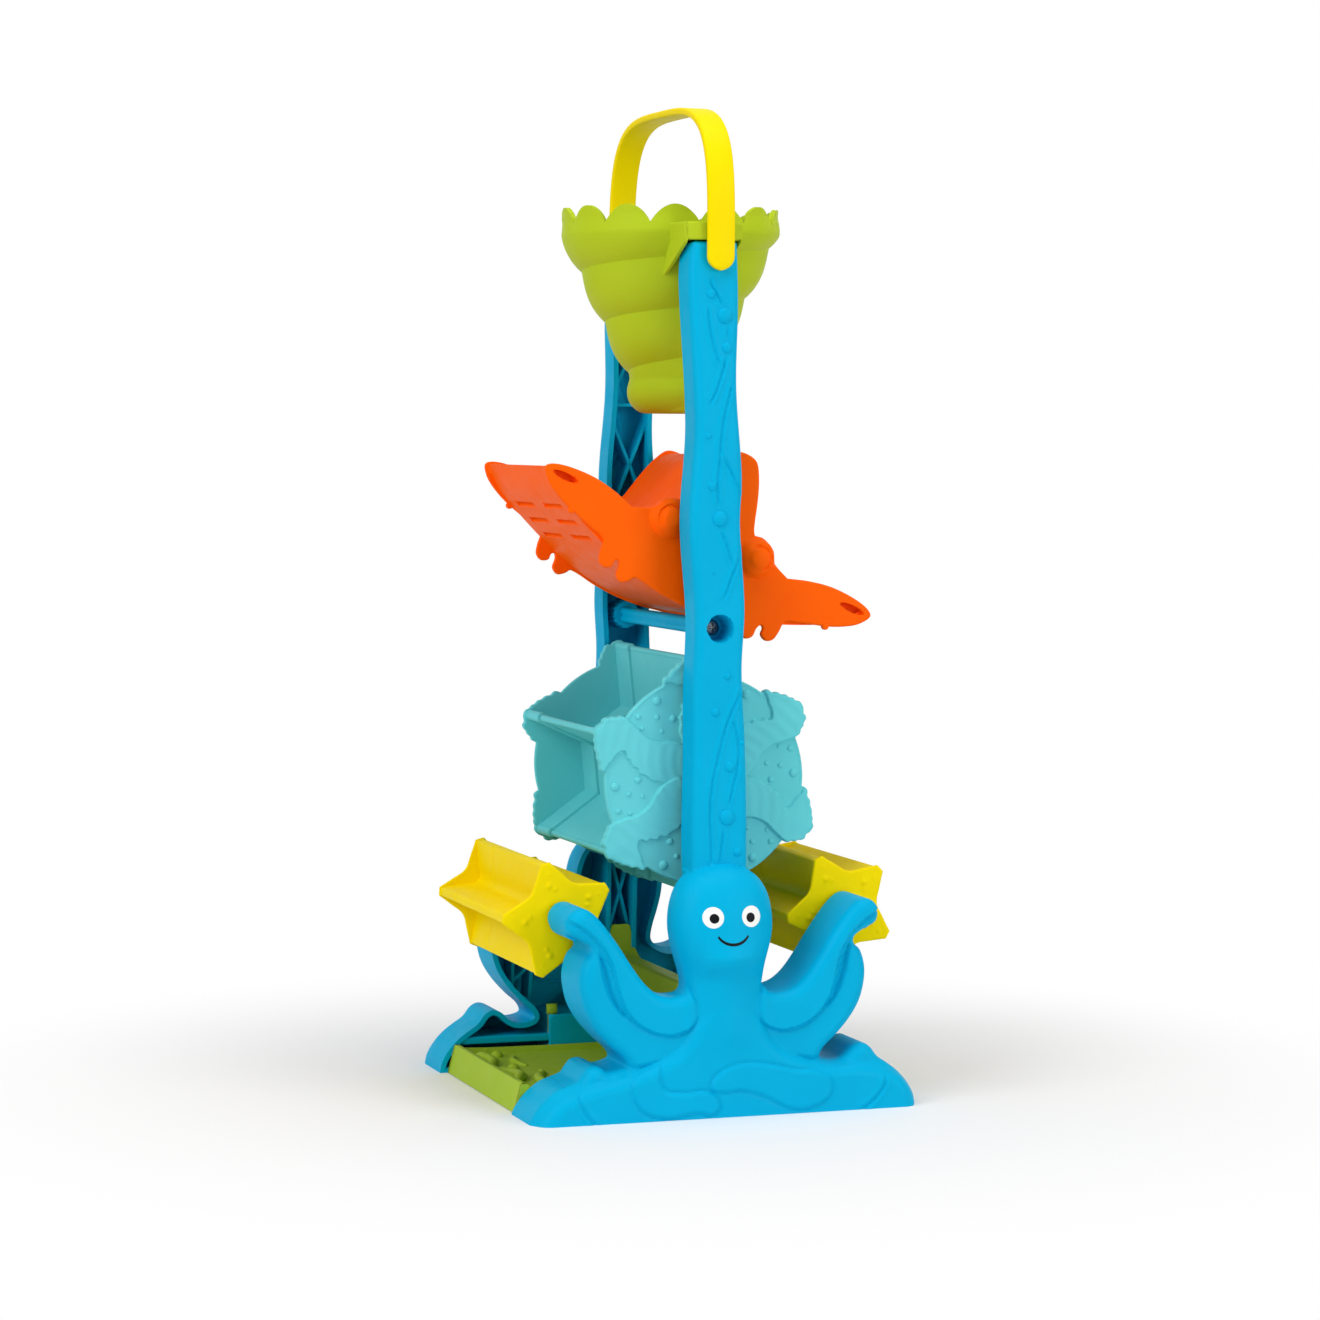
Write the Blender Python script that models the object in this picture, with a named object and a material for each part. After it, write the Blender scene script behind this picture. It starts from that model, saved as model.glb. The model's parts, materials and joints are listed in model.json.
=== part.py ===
"""Sand tower for beach play.

Two moulded end frames, each a tall wavy post on an octopus foot, carry a spiral funnel,
a crab seesaw, a six-pocket sand wheel and two star wheels above a ramped tray.
X runs along the frames' width, -Y is the front, Z is up, and the floor is Z = 0.
"""
import math

import bmesh
import bpy
from mathutils import Matrix, Vector

MM = 0.001

# Clearances and walls
GAP = 0.0003
RUN_GAP = 0.0015
PIN_GAP = 0.0003
WALL = 0.0023
RIB = 0.0015

# End frames: the outer faces lean towards each other as they rise
FACE_Y = 0.0748
LEAN = 0.0363
POST_TOP = 0.364
POST_FOOT = 0.060
POST_DEPTH = 0.0145
POST_EDGE = 0.0024
BODY_INNER = 0.0508
BODY_FRONT = 0.003
BASE_FRONT = 0.009
HEAD_Z = 0.0785
HEAD_HALF_W = 0.0205
HEAD_HALF_H = 0.0240
HEAD_BULGE = 0.0145
TRUNK_Z = 0.0460
TRUNK_HALF_W = 0.0150
TRUNK_HALF_H = 0.0330
TRUNK_BULGE = 0.0090
SHELF_HALF_W = 0.032
SHELF_LOW = 0.017
SHELF_HIGH = 0.028
SHELF_DEPTH = 0.030
SILL_HALF_W = 0.0733
SILL_DEPTH = 0.0255
SILL_T = 0.0020
RIB_SETBACK = 0.0030
POST_CROSSES = ((0.086, 0.126), (0.152, 0.190), (0.246, 0.290), (0.302, 0.344))
POST_BARS = (0.2160, 0.2965)

# Tie bar under the seesaw
TIE_Z = 0.2027
TIE_R = 0.0040
RECESS_R = 0.00575
TIE_SCREW_R = 0.0015
TIE_SCREW_HEAD_R = 0.0032

# Handle
HANDLE_Z = 0.3575
HANDLE_TOP = 0.4222
STRAP_W = 0.0118
STRAP_T = 0.0030
HANDLE_PIN_R = 0.0030
HANDLE_SQUARENESS = 3.4

# Funnel
RIM_R = 0.0485
RIM_TOP = 0.3800
SCALLOPS = 14
SCALLOP_DEPTH = 0.0080
SCALLOP_START = 0.275
FUNNEL_BOTTOM = 0.2925
OUTLET_R = 0.0080
FUNNEL_FOOT_R = 0.0110
FUNNEL_NECK_R = 0.0220
FUNNEL_NECK_Z = 0.3120
FUNNEL_TOE = 0.0150
SPIRAL_PITCH = 0.0215
SPIRAL_SWELL = 0.0030
SPIRAL_START = -0.222
EAR_H = 0.0075
EAR_WALL = 0.0018
GUSSET_DROP = 0.0150
GUSSET_NOSE = 0.0100

# Crab seesaw
SEESAW_Z = 0.2290
SEESAW_TILT = 23.5
SEESAW_PLATE = 0.0024
SEESAW_PIN_R = 0.0035
EYE_R = 0.0088
EYE_BULGE = 0.0055
EYE_X = 0.0215
EYE_Z = 0.0118
CLAW_SLIT = (0.0060, 0.0010, 0.0013)
CLAW_SLIT_X = 0.0708
CLAW_SLIT_Z = 0.0098
SIEVE_ROWS = (0.0460, 0.0545, 0.0630)
SIEVE_SLOT_W = 0.0026

# Sand wheel
WHEEL_Z = 0.1380
WHEEL_R = 0.0540
WHEEL_DISC_R = 0.0445
WHEEL_HUB_R = 0.0250
WHEEL_VANE = 0.0024
WHEEL_SEAM = 0.0215
WHEEL_PHASE = 5.9
WHEEL_PIN_R = 0.0040
RELIEF = 0.0012

# One ray of the wheel's face: (degrees from its middle, reach), where a reach of 0 is the hub,
# 1 the disc's edge and 2 the tip
RAY = (
    (-13.0, 0.90), (-12.3, 1.26), (-9.6, 1.53), (-5.5, 1.87), (1.2, 2.0), (6.0, 1.74), (10.0, 1.56),
    (18.5, 1.13), (12.0, 0.89), (4.8, 0.72), (11.0, 0.50), (18.0, 0.24), (25.0, -0.08), (35.0, -0.12),
    (46.0, 0.10), (48.5, 0.41),
)

# Star wheels
STAR_X = 0.0635
STAR_Z = 0.0803
STAR_R = 0.0250
STAR_VALLEY_R = 0.0165
STAR_HUB_R = 0.0082
STAR_PLATE = 0.0020
STAR_TIP_W = 0.0050
STAR_VANE_TIP_W = 0.0040
STAR_SEAM = 0.0250
STAR_PIN_R = 0.0030
STAR_PHASE = {"left": 33.0, "right": 43.5}

# Base tray
TRAY_HALF_W = 0.0835
TRAY_WALL_H = 0.0125
TRAY_FLOOR = 0.0080
RIDGE_TOP = 0.0640
RIDGE_SHOULDER = 0.0470

WHEEL_HALF = FACE_Y - LEAN * (WHEEL_Z + WHEEL_R) - POST_DEPTH - RUN_GAP
SEESAW_HALF = FACE_Y - LEAN * SEESAW_Z - POST_DEPTH - RUN_GAP - EYE_BULGE
STAR_HALF = BODY_INNER - RUN_GAP
TRAY_HALF_D = BODY_INNER - GAP

# Outlines in millimetres, right-hand half of the octopus from its crown to below the floor,
# where they are cut off flat
BODY_HALF = [
    (0, 104.5), (8, 103.4), (14.5, 100.2), (18.9, 95), (21.3, 88.5), (22.2, 81), (21.6, 74),
    (19.8, 66.5), (17.8, 59.5), (17.2, 54), (19.5, 51), (24.5, 50.4), (30, 52), (35.2, 56.2),
    (41, 63.8), (46.2, 71.8), (51.2, 78.8), (56, 84.6), (61, 88.2), (66, 87.8), (69.4, 83.5),
    (68.6, 78.4), (63.5, 75.6), (59, 72.6), (58.4, 70), (61.2, 66.8), (63, 60), (62.6, 53.5),
    (60.4, 45.5), (56, 38), (50, 31), (44.5, 26), (43, 22.6), (47, 20.8), (52.5, 21),
    (56, 23.4), (59, 26), (62.5, 27), (66, 25.2), (69, 20.6), (73, 17.6), (78, 13.8),
    (82, 9.2), (84.8, 4.4), (86, -1), (87, -9, "V"),
]
BASE_HALF = [
    (0, 24), (12, 25), (26, 23.5), (38, 20.6), (47, 19.2), (58, 19.6), (68, 17.6), (76, 13.6),
    (80.6, 9), (83.2, 4.2), (84.4, -1), (85.4, -9, "V"),
]
POST_RIGHT = [(1, 8.8), (0.914, 9.3), (0.8, 8.4), (0.678, 10.7), (0.612, 9.8), (0.497, 11.7),
              (0.411, 10.3), (0.296, 11.7), (0.164, 12), (0, 11)]
POST_LEFT = [(0, 11), (0.164, 12.6), (0.296, 11.8), (0.382, 11.6), (0.484, 10.4), (0.615, 12.8),
             (0.75, 10.1), (0.947, 12.8), (1, 11.6)]

# Tentacles: (x, z, radius) in millimetres along each raised arm
ARM_UPPER = [(63, 81.8, 6.0), (57, 77.2, 6.8), (51, 69, 7.4), (44.5, 59.5, 7.8), (37, 51.5, 8.0),
             (28, 45.6, 7.8), (18, 43.6, 7.2), (8, 44, 6.5)]
ARM_LOWER = [(58.6, 69, 4.2), (57.6, 63, 5.4), (55.6, 55, 6.6), (51, 45.5, 7.2), (44, 37, 7.4),
             (35, 31.3, 7.2), (25, 29, 6.8), (14, 30, 6.2), (5, 32, 5.6)]

# Ribs across the hollow arms: (x, z) in millimetres at each end
ARM_RIBS = (((36, 50), (52, 36)), ((45, 62), (61, 56)))

# Crab silhouette and wedge, right-hand half, about the seesaw's pivot
CRAB_HALF = [
    (8.4, 44.5), (11.8, 36), (15.6, 23), (17, 20.4, "V"), (21.5, 20.8), (26.8, 18.2),
    (29.8, 13.4), (38.2, 9.6, "V"), (47.6, 12.4), (58, 14.2), (69, 14), (77, 12.4), (80, 10),
    (78, 6.2), (73.6, 2.6), (64.6, -1.6), (50.2, -5.8), (44.6, -8), (43.8, -13), (42.6, -17),
    (39.6, -18.6), (36.6, -17), (36.4, -14.2), (35, -13.4), (33.8, -15.4), (33.4, -19.4),
    (30.4, -21.4), (27.2, -19.6), (25, -17.2), (12, -18.9), (0, -19.6),
]
WEDGE_HALF = [(0, 50), (4.6, 48.8), (8.4, 44.5), (11.8, 36), (15.6, 23), (22, 6), (30, -10.5, "V")]
FLOOR_HALF = [(0, -18.6), (14, -17.8), (30, -14.4), (44, -9.4), (58, -3.6), (70, 2.2), (77.6, 8.6)]
FLOOR_TIP = (79.2, 10.2, "V")

for stale in list(bpy.data.objects):
    bpy.data.objects.remove(stale, do_unlink=True)

PARTS = bpy.data.collections.new("sand_tower")
CUTTERS = bpy.data.collections.new("sand_tower_cutters")
for group in (PARTS, CUTTERS):
    bpy.context.scene.collection.children.link(group)


def finish_material(name, colour, roughness=0.35, metallic=0.0):
    """A Principled material in the part's own colour."""
    made = bpy.data.materials.new(name)
    made.use_nodes = True
    shader = made.node_tree.nodes["Principled BSDF"]
    shader.inputs["Base Color"].default_value = (*colour, 1.0)
    shader.inputs["Roughness"].default_value = roughness
    shader.inputs["Metallic"].default_value = metallic
    made.diffuse_color = (*colour, 1.0)
    return made


BLUE = (0.0, 0.42, 0.74)
LIME = (0.42, 0.60, 0.04)
LEAF = (0.27, 0.47, 0.02)
YELLOW = (1.0, 0.77, 0.0)
ORANGE = (1.0, 0.15, 0.0)
AQUA = (0.16, 0.67, 0.69)
STEEL = (0.75, 0.76, 0.78)


def link_mesh(name, shape, location=(0, 0, 0)):
    """A named object from a bmesh, kept with the cutters until it becomes a part."""
    bmesh.ops.recalc_face_normals(shape, faces=shape.faces)
    data = bpy.data.meshes.new(name)
    shape.to_mesh(data)
    shape.free()
    made = bpy.data.objects.new(name, data)
    made.location = location
    made.hide_render = True
    made.display_type = "WIRE"
    CUTTERS.objects.link(made)
    return made


def as_part(made, colour, roughness=0.35, metallic=0.0):
    """Move an object to the parts and give it its own material and smooth shading."""
    CUTTERS.objects.unlink(made)
    PARTS.objects.link(made)
    made.hide_render = False
    made.display_type = "TEXTURED"
    made.data.materials.clear()
    made.data.materials.append(finish_material(made.name + "_finish", colour, roughness, metallic))
    made.data.shade_smooth()
    made.data.set_sharp_from_angle(angle=math.radians(35))
    return made


def settled(made):
    """Replace an object's modifiers by their result, welded and closed."""
    depsgraph = bpy.context.evaluated_depsgraph_get()
    data = bpy.data.meshes.new_from_object(made.evaluated_get(depsgraph))
    shape = bmesh.new()
    shape.from_mesh(data)
    bpy.data.meshes.remove(data)
    bmesh.ops.remove_doubles(shape, verts=shape.verts, dist=1e-6)
    bmesh.ops.dissolve_degenerate(shape, edges=shape.edges, dist=2e-6)
    bmesh.ops.recalc_face_normals(shape, faces=shape.faces)
    made.modifiers.clear()
    shape.to_mesh(made.data)
    shape.free()
    return made


def combine(target, tool, operation):
    """One exact Boolean step, applied."""
    step = target.modifiers.new(operation.lower(), "BOOLEAN")
    step.operation = operation
    step.solver = "EXACT"
    step.object = tool
    settled(target)
    bpy.data.objects.remove(tool, do_unlink=True)
    return target


def fuse(target, *tools):
    for tool in tools:
        combine(target, tool, "UNION")
    return target


def cut(target, *tools):
    for tool in tools:
        combine(target, tool, "DIFFERENCE")
    return target


def mirrored(half):
    """A closed outline from its right-hand half, which starts on the centre line."""
    left = [(-p[0], *p[1:]) for p in reversed(half) if p[0] != 0]
    return list(half) + left


def curve_mesh(name, curve):
    """Turn a curve into a closed, welded mesh object and drop the curve."""
    guide = bpy.data.objects.new(name + "_curve", curve)
    CUTTERS.objects.link(guide)
    depsgraph = bpy.context.evaluated_depsgraph_get()
    data = bpy.data.meshes.new_from_object(guide.evaluated_get(depsgraph))
    bpy.data.objects.remove(guide, do_unlink=True)
    bpy.data.curves.remove(curve)
    shape = bmesh.new()
    shape.from_mesh(data)
    bpy.data.meshes.remove(data)
    bmesh.ops.remove_doubles(shape, verts=shape.verts, dist=1e-6)
    return shape


def slab(name, outline, y_low, y_high, inset=0.0, rounding=0.0, detail=3):
    """A flat outline in X and Z (millimetres) given a thickness along Y.

    A point with a third value "V" is a corner; all others are passed smoothly.
    """
    curve = bpy.data.curves.new(name, "CURVE")
    curve.dimensions = "2D"
    curve.fill_mode = "BOTH"
    curve.resolution_u = detail
    curve.extrude = (y_high - y_low) / 2 - rounding
    curve.bevel_depth = rounding
    curve.bevel_resolution = 1
    curve.offset = -(inset + rounding)
    spline = curve.splines.new("BEZIER")
    spline.bezier_points.add(len(outline) - 1)
    spline.use_cyclic_u = True
    for knot, point in zip(spline.bezier_points, outline):
        knot.co = (point[0] * MM, point[1] * MM, 0)
        kind = "VECTOR" if len(point) > 2 else "AUTO"
        knot.handle_left_type = kind
        knot.handle_right_type = kind
    shape = curve_mesh(name, curve)
    upright = Matrix.Translation((0, (y_low + y_high) / 2, 0)) @ Matrix.Rotation(math.pi / 2, 4, "X")
    bmesh.ops.transform(shape, matrix=upright, verts=shape.verts)
    return link_mesh(name, shape)


def polygon(name, points, y_low, y_high):
    """A straight-sided prism along Y; points are in metres."""
    return slab(name, [(x / MM, z / MM, "V") for x, z in points], y_low, y_high, detail=1)


def tapered_tube(name, path, y_mid, flatten=1.0):
    """A round tentacle through (x, z, radius) points in millimetres."""
    curve = bpy.data.curves.new(name, "CURVE")
    curve.dimensions = "3D"
    curve.bevel_depth = MM
    curve.bevel_resolution = 1
    curve.use_fill_caps = True
    curve.resolution_u = 1
    spline = curve.splines.new("BEZIER")
    spline.bezier_points.add(len(path) - 1)
    for knot, (x, z, radius) in zip(spline.bezier_points, path):
        knot.co = (x * MM, 0, z * MM)
        knot.radius = radius
        knot.handle_left_type = "AUTO"
        knot.handle_right_type = "AUTO"
    shape = curve_mesh(name, curve)
    bmesh.ops.scale(shape, vec=(1, flatten, 1), verts=shape.verts)
    bmesh.ops.translate(shape, vec=(0, y_mid, 0), verts=shape.verts)
    return link_mesh(name, shape)


def box(name, low, high):
    shape = bmesh.new()
    bmesh.ops.create_cube(shape, size=1.0)
    span = Vector(high) - Vector(low)
    bmesh.ops.scale(shape, vec=span, verts=shape.verts)
    bmesh.ops.translate(shape, vec=(Vector(high) + Vector(low)) / 2, verts=shape.verts)
    return link_mesh(name, shape)


def rod(name, x, z, y_low, y_high, radius, end_radius=None, sides=14):
    """A round bar or cone along Y."""
    shape = bmesh.new()
    far = radius if end_radius is None else end_radius
    bmesh.ops.create_cone(shape, cap_ends=True, segments=sides, radius1=radius, radius2=far,
                          depth=y_high - y_low)
    bmesh.ops.transform(shape, matrix=Matrix.Rotation(-math.pi / 2, 4, "X"), verts=shape.verts)
    bmesh.ops.translate(shape, vec=(x, (y_low + y_high) / 2, z), verts=shape.verts)
    return link_mesh(name, shape)


def ball(name, centre, half_axes, segments=16, rings=10):
    shape = bmesh.new()
    bmesh.ops.create_uvsphere(shape, u_segments=segments, v_segments=rings, radius=1.0)
    bmesh.ops.scale(shape, vec=half_axes, verts=shape.verts)
    bmesh.ops.translate(shape, vec=centre, verts=shape.verts)
    return link_mesh(name, shape)


def bar_between(name, start, end, thickness, y_low, y_high):
    """A thin rib from start to end in X and Z."""
    run = Vector((end[0] - start[0], 0, end[1] - start[1]))
    side = Vector((-run.z, 0, run.x)).normalized() * thickness / 2
    corners = [(start[0] + s * side.x, start[1] + s * side.z) for s in (1, -1)]
    corners += [(end[0] + s * side.x, end[1] + s * side.z) for s in (-1, 1)]
    return polygon(name, corners, y_low, y_high)


def leaned(made):
    """Set a shape drawn about the post's outer face onto the leaning front face."""
    for vertex in made.data.vertices:
        vertex.co.y += LEAN * vertex.co.z - FACE_Y
    return made


def turned_copy(name, made):
    """The same moulding turned half a turn about the vertical axis."""
    data = made.data.copy()
    data.transform(Matrix.Rotation(math.pi, 4, "Z"))
    copy = bpy.data.objects.new(name, data)
    copy.hide_render = True
    CUTTERS.objects.link(copy)
    return copy


def face_at(z):
    """Distance of a post's outer face from the middle plane."""
    return FACE_Y - LEAN * z


def post_outline():
    reach = (POST_TOP - POST_FOOT) / MM
    foot = POST_FOOT / MM
    corner = {0: ("V",), 1: ("V",)}
    right = [(half, foot + part * reach, *corner.get(part, ())) for part, half in POST_RIGHT]
    left = [(-half, foot + part * reach, *corner.get(part, ())) for part, half in POST_LEFT]
    return right + left


def frame_solid():
    """Outer form of one end frame: post, octopus body, raised arms, head and base."""
    solid = leaned(slab("front_frame", mirrored(BODY_HALF), -BODY_FRONT, FACE_Y - BODY_INNER + 0.004,
                        rounding=0.003, detail=1))
    fuse(solid, leaned(slab("base", mirrored(BASE_HALF), -BASE_FRONT, 0.012, rounding=0.004, detail=1)))
    for side in (1, -1):
        for name, path in (("arm_lower", ARM_LOWER), ("arm_upper", ARM_UPPER)):
            route = [(side * x, z, radius) for x, z, radius in path]
            fuse(solid, leaned(tapered_tube(name, route, -0.0005)))
    fuse(solid, leaned(ball("head", (0, 0.001, HEAD_Z), (HEAD_HALF_W, HEAD_BULGE, HEAD_HALF_H))))
    fuse(solid, leaned(ball("trunk", (0, 0, TRUNK_Z), (TRUNK_HALF_W, TRUNK_BULGE, TRUNK_HALF_H), 12, 8)))
    cut(solid, leaned(box("head_relief", (-0.034, POST_DEPTH, 0.064), (0.034, 0.06, 0.12))))
    cut(solid, box("inner_plane", (-0.12, -BODY_INNER, -0.02), (0.12, 0.0, 0.13)))
    above(solid, 0.0)
    fuse(solid, leaned(slab("post", post_outline(), 0.0, POST_DEPTH, rounding=POST_EDGE, detail=2)))
    return solid


def above(tool, z):
    """Cut off what lies below a height."""
    return cut(tool, box("low_side", (-0.12, -0.2, -0.03), (0.12, 0.2, z)))


def frame_pockets(solid):
    """Open the frame's inner side so that a thin wall is left all round."""
    deep = FACE_Y - BODY_INNER + 0.02
    for outline, front in ((BODY_HALF, BODY_FRONT), (BASE_HALF, BASE_FRONT)):
        pocket = leaned(slab("pocket", mirrored(outline), WALL - front, deep, inset=WALL, detail=1))
        cut(solid, above(pocket, WALL))
    cut(solid, leaned(slab("post_pocket", post_outline(), WALL, deep, inset=WALL, detail=2)))
    cut(solid, leaned(ball("head_hollow", (0, 0.001, HEAD_Z),
                           (HEAD_HALF_W - WALL, HEAD_BULGE - WALL, HEAD_HALF_H - WALL))))
    return solid


def post_side(halves, z):
    """Half width of the post on one side at a height."""
    share = (z - POST_FOOT) / (POST_TOP - POST_FOOT)
    knots = sorted(halves)
    for (low, narrow), (high, wide) in zip(knots, knots[1:]):
        if share <= high:
            return (narrow + (wide - narrow) * (share - low) / (high - low)) * MM
    return knots[-1][1] * MM


def post_rib(z_left, z_right):
    """A rib from the post's left wall to its right wall."""
    start = (WALL / 2 - post_side(POST_LEFT, z_left), z_left)
    end = (post_side(POST_RIGHT, z_right) - WALL / 2, z_right)
    return leaned(bar_between("rib", start, end, RIB, WALL / 2, POST_DEPTH - RIB_SETBACK))


def frame_ribs(solid):
    """Shelf and sill over the tray, cross ribs in the post, and ribs across the arms."""
    sill = box("sill", (-SILL_HALF_W, -BODY_INNER - SILL_DEPTH, SHELF_LOW - SILL_T),
               (SILL_HALF_W, -BODY_INNER, SHELF_LOW))
    shelf = box("shelf", (-SHELF_HALF_W, -BODY_INNER - SHELF_DEPTH, SHELF_LOW - SILL_T / 2),
                (SHELF_HALF_W, -BODY_INNER, SHELF_HIGH))
    fuse(solid, sill, shelf)
    for z_low, z_high in POST_CROSSES:
        fuse(solid, post_rib(z_low, z_high), post_rib(z_high, z_low))
    for z in POST_BARS:
        fuse(solid, post_rib(z, z))
    for side in (1, -1):
        for inner, outer in ARM_RIBS:
            start = (side * inner[0] * MM, inner[1] * MM)
            end = (side * outer[0] * MM, outer[1] * MM)
            fuse(solid, leaned(bar_between("rib", start, end, RIB, 0.0, POST_DEPTH - RIB_SETBACK)))
    return solid


def frame_sockets(solid):
    """Bosses for the moving pieces' pins, the tie bar's recess and the handle's hole."""
    for z, pin_r in ((SEESAW_Z, SEESAW_PIN_R), (WHEEL_Z, WHEEL_PIN_R)):
        inner = -face_at(z) + POST_DEPTH
        fuse(solid, rod("boss", 0, z, -face_at(z) + WALL / 2, inner, pin_r + PIN_GAP + WALL))
        cut(solid, rod("socket", 0, z, inner - POST_DEPTH + 2 * WALL, inner + 0.005, pin_r + PIN_GAP))
    for side in (1, -1):
        fuse(solid, rod("boss", side * STAR_X, STAR_Z, -face_at(STAR_Z) + 0.001, -BODY_INNER,
                        STAR_PIN_R + PIN_GAP + WALL))
        cut(solid, rod("socket", side * STAR_X, STAR_Z, -BODY_INNER - 0.012, 0, STAR_PIN_R + PIN_GAP))
    inner = -face_at(TIE_Z) + POST_DEPTH
    fuse(solid, rod("boss", 0, TIE_Z, -face_at(TIE_Z) + 0.001, inner, RECESS_R + WALL))
    cut(solid, rod("recess", 0, TIE_Z, -face_at(TIE_Z) - 0.002, inner - WALL, RECESS_R, RECESS_R - 0.0008))
    cut(solid, rod("screw_hole", 0, TIE_Z, inner - 0.01, inner + 0.005, TIE_SCREW_R + PIN_GAP))
    cut(solid, rod("handle_hole", 0, HANDLE_Z, -face_at(HANDLE_Z) - 0.01,
                   -face_at(HANDLE_Z) + 2 * WALL, HANDLE_PIN_R + PIN_GAP))
    return solid


def simplified(made, degrees):
    """Merge neighbouring facets that are all but flat."""
    shape = bmesh.new()
    shape.from_mesh(made.data)
    bmesh.ops.dissolve_limit(shape, angle_limit=math.radians(degrees), use_dissolve_boundaries=False,
                             verts=shape.verts, edges=shape.edges, delimit=set())
    shape.to_mesh(made.data)
    shape.free()
    return made


def end_frames():
    front = simplified(frame_sockets(frame_ribs(frame_pockets(frame_solid()))), 3)
    rear = turned_copy("rear_frame", front)
    return as_part(front, BLUE), as_part(rear, BLUE)


def tie_bar():
    """Ribbed bar between the posts, with a pilot hole for a screw at each end."""
    half = face_at(TIE_Z + TIE_R) - POST_DEPTH - GAP
    bar = rod("tie_bar", 0, 0, -half, half, TIE_R * 0.72)
    for turn in range(2):
        wing = box("wing", (-TIE_R, -half, -TIE_R * 0.34), (TIE_R, half, TIE_R * 0.34))
        wing.data.transform(Matrix.Rotation(math.radians(45 + 90 * turn), 4, "Y"))
        fuse(bar, wing)
    for end in (-1, 1):
        low, high = sorted((end * (half - 0.014), end * (half + 0.002)))
        cut(bar, rod("pilot", 0, 0, low, high, TIE_SCREW_R + PIN_GAP))
    bar.location = (0, 0, TIE_Z)
    return as_part(bar, BLUE)


def tie_screw(name, end):
    """Pan-head screw seated in a post's recess; end is -1 at the front and 1 at the rear."""
    seat = face_at(TIE_Z) - POST_DEPTH + WALL + GAP
    head = rod(name, 0, 0, seat, seat + 0.0022, TIE_SCREW_HEAD_R, TIE_SCREW_HEAD_R * 0.72)
    fuse(head, rod("shank", 0, 0, seat - 0.0125, seat + 0.001, TIE_SCREW_R))
    slot_half = TIE_SCREW_HEAD_R * 0.6
    for along in ((slot_half, 0.0004), (0.0004, slot_half)):
        cut(head, box("drive", (-along[0], seat + 0.0012, -along[1]), (along[0], seat + 0.004, along[1])))
    head.data.transform(Matrix.Rotation(0 if end > 0 else math.pi, 4, "Z"))
    head.location = (0, 0, TIE_Z)
    return as_part(head, STEEL, 0.3, 1.0)


def strap_curve(reach, rise):
    """Points of an arch with upright legs and soft shoulders, in millimetres."""
    points = []
    for step in range(17):
        turn = math.pi * step / 16
        side = math.copysign(abs(math.cos(turn)) ** (2 / HANDLE_SQUARENESS), math.cos(turn))
        point = (-reach * side / MM, rise * abs(math.sin(turn)) ** (2 / HANDLE_SQUARENESS) / MM)
        points.append(point if 0 < step < 16 else (*point, "V"))
    return points


def handle():
    """U strap whose round ends pivot on the outer faces of the posts."""
    reach = face_at(HANDLE_Z - STRAP_W / 2) + GAP
    rise = HANDLE_TOP - HANDLE_Z
    profile = strap_curve(reach + STRAP_T, rise) + strap_curve(reach, rise - STRAP_T)[::-1]
    strap = slab("handle", profile, -STRAP_W / 2, STRAP_W / 2, detail=2)
    strap.data.transform(Matrix.Rotation(math.pi / 2, 4, "Z"))
    for end in (-1, 1):
        low, high = sorted((end * reach, end * (reach + STRAP_T)))
        fuse(strap, rod("eye", 0, 0, low, high, STRAP_W / 2, sides=24))
        pin_end = face_at(HANDLE_Z) - 2 * WALL + GAP
        low, high = sorted((end * (reach + STRAP_T / 2), end * pin_end))
        fuse(strap, rod("pin", 0, 0, low, high, HANDLE_PIN_R))
    strap.location = (0, 0, HANDLE_Z)
    return as_part(strap, YELLOW)


def funnel_radius(turn, z):
    """Outer radius of the conch-like funnel: a cone swollen between the turns of one helix."""
    top = RIM_TOP - SCALLOP_DEPTH
    cone = FUNNEL_NECK_R + (RIM_R - FUNNEL_NECK_R) * (z - FUNNEL_NECK_Z) / (top - FUNNEL_NECK_Z)
    phase = ((z - FUNNEL_NECK_Z) / SPIRAL_PITCH - turn + SPIRAL_START) % 1.0
    fade = min(1.0, max(0.0, (RIM_TOP - z) / SCALLOP_DEPTH - 0.4))
    swell = SPIRAL_SWELL * math.sin(math.pi * phase ** 0.75) * fade
    rise = min(1.0, max(0.0, (z - FUNNEL_BOTTOM) / FUNNEL_TOE))
    toe = FUNNEL_FOOT_R / FUNNEL_NECK_R + (1 - FUNNEL_FOOT_R / FUNNEL_NECK_R) * math.sqrt(rise * (2 - rise))
    return (min(max(cone, FUNNEL_NECK_R), RIM_R) + swell) * toe


def rim_height(turn):
    """Top of the scalloped rim at a fraction of a turn from the front."""
    lobe = abs(math.sin(math.pi * (turn * SCALLOPS - SCALLOP_START + 0.5)))
    return RIM_TOP - SCALLOP_DEPTH * (1 - lobe ** 0.7)


def funnel_skin(steps, phases, inset, low):
    """Columns of points whose rows follow the helix, held between the foot and the rim."""
    turns = range(-1, math.ceil((RIM_TOP - FUNNEL_BOTTOM) / SPIRAL_PITCH) + 2)
    columns = []
    for step in range(steps):
        turn = step / steps - 0.5
        column = []
        for climb in (whole + part for whole in turns for part in phases):
            z = FUNNEL_NECK_Z + SPIRAL_PITCH * (climb + turn - SPIRAL_START - 1)
            z = min(rim_height(turn), max(low, z))
            radius = funnel_radius(turn, z) - inset
            angle = 2 * math.pi * turn - math.pi / 2
            column.append(Vector((radius * math.cos(angle), radius * math.sin(angle), z)))
        columns.append(column)
    return columns


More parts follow.
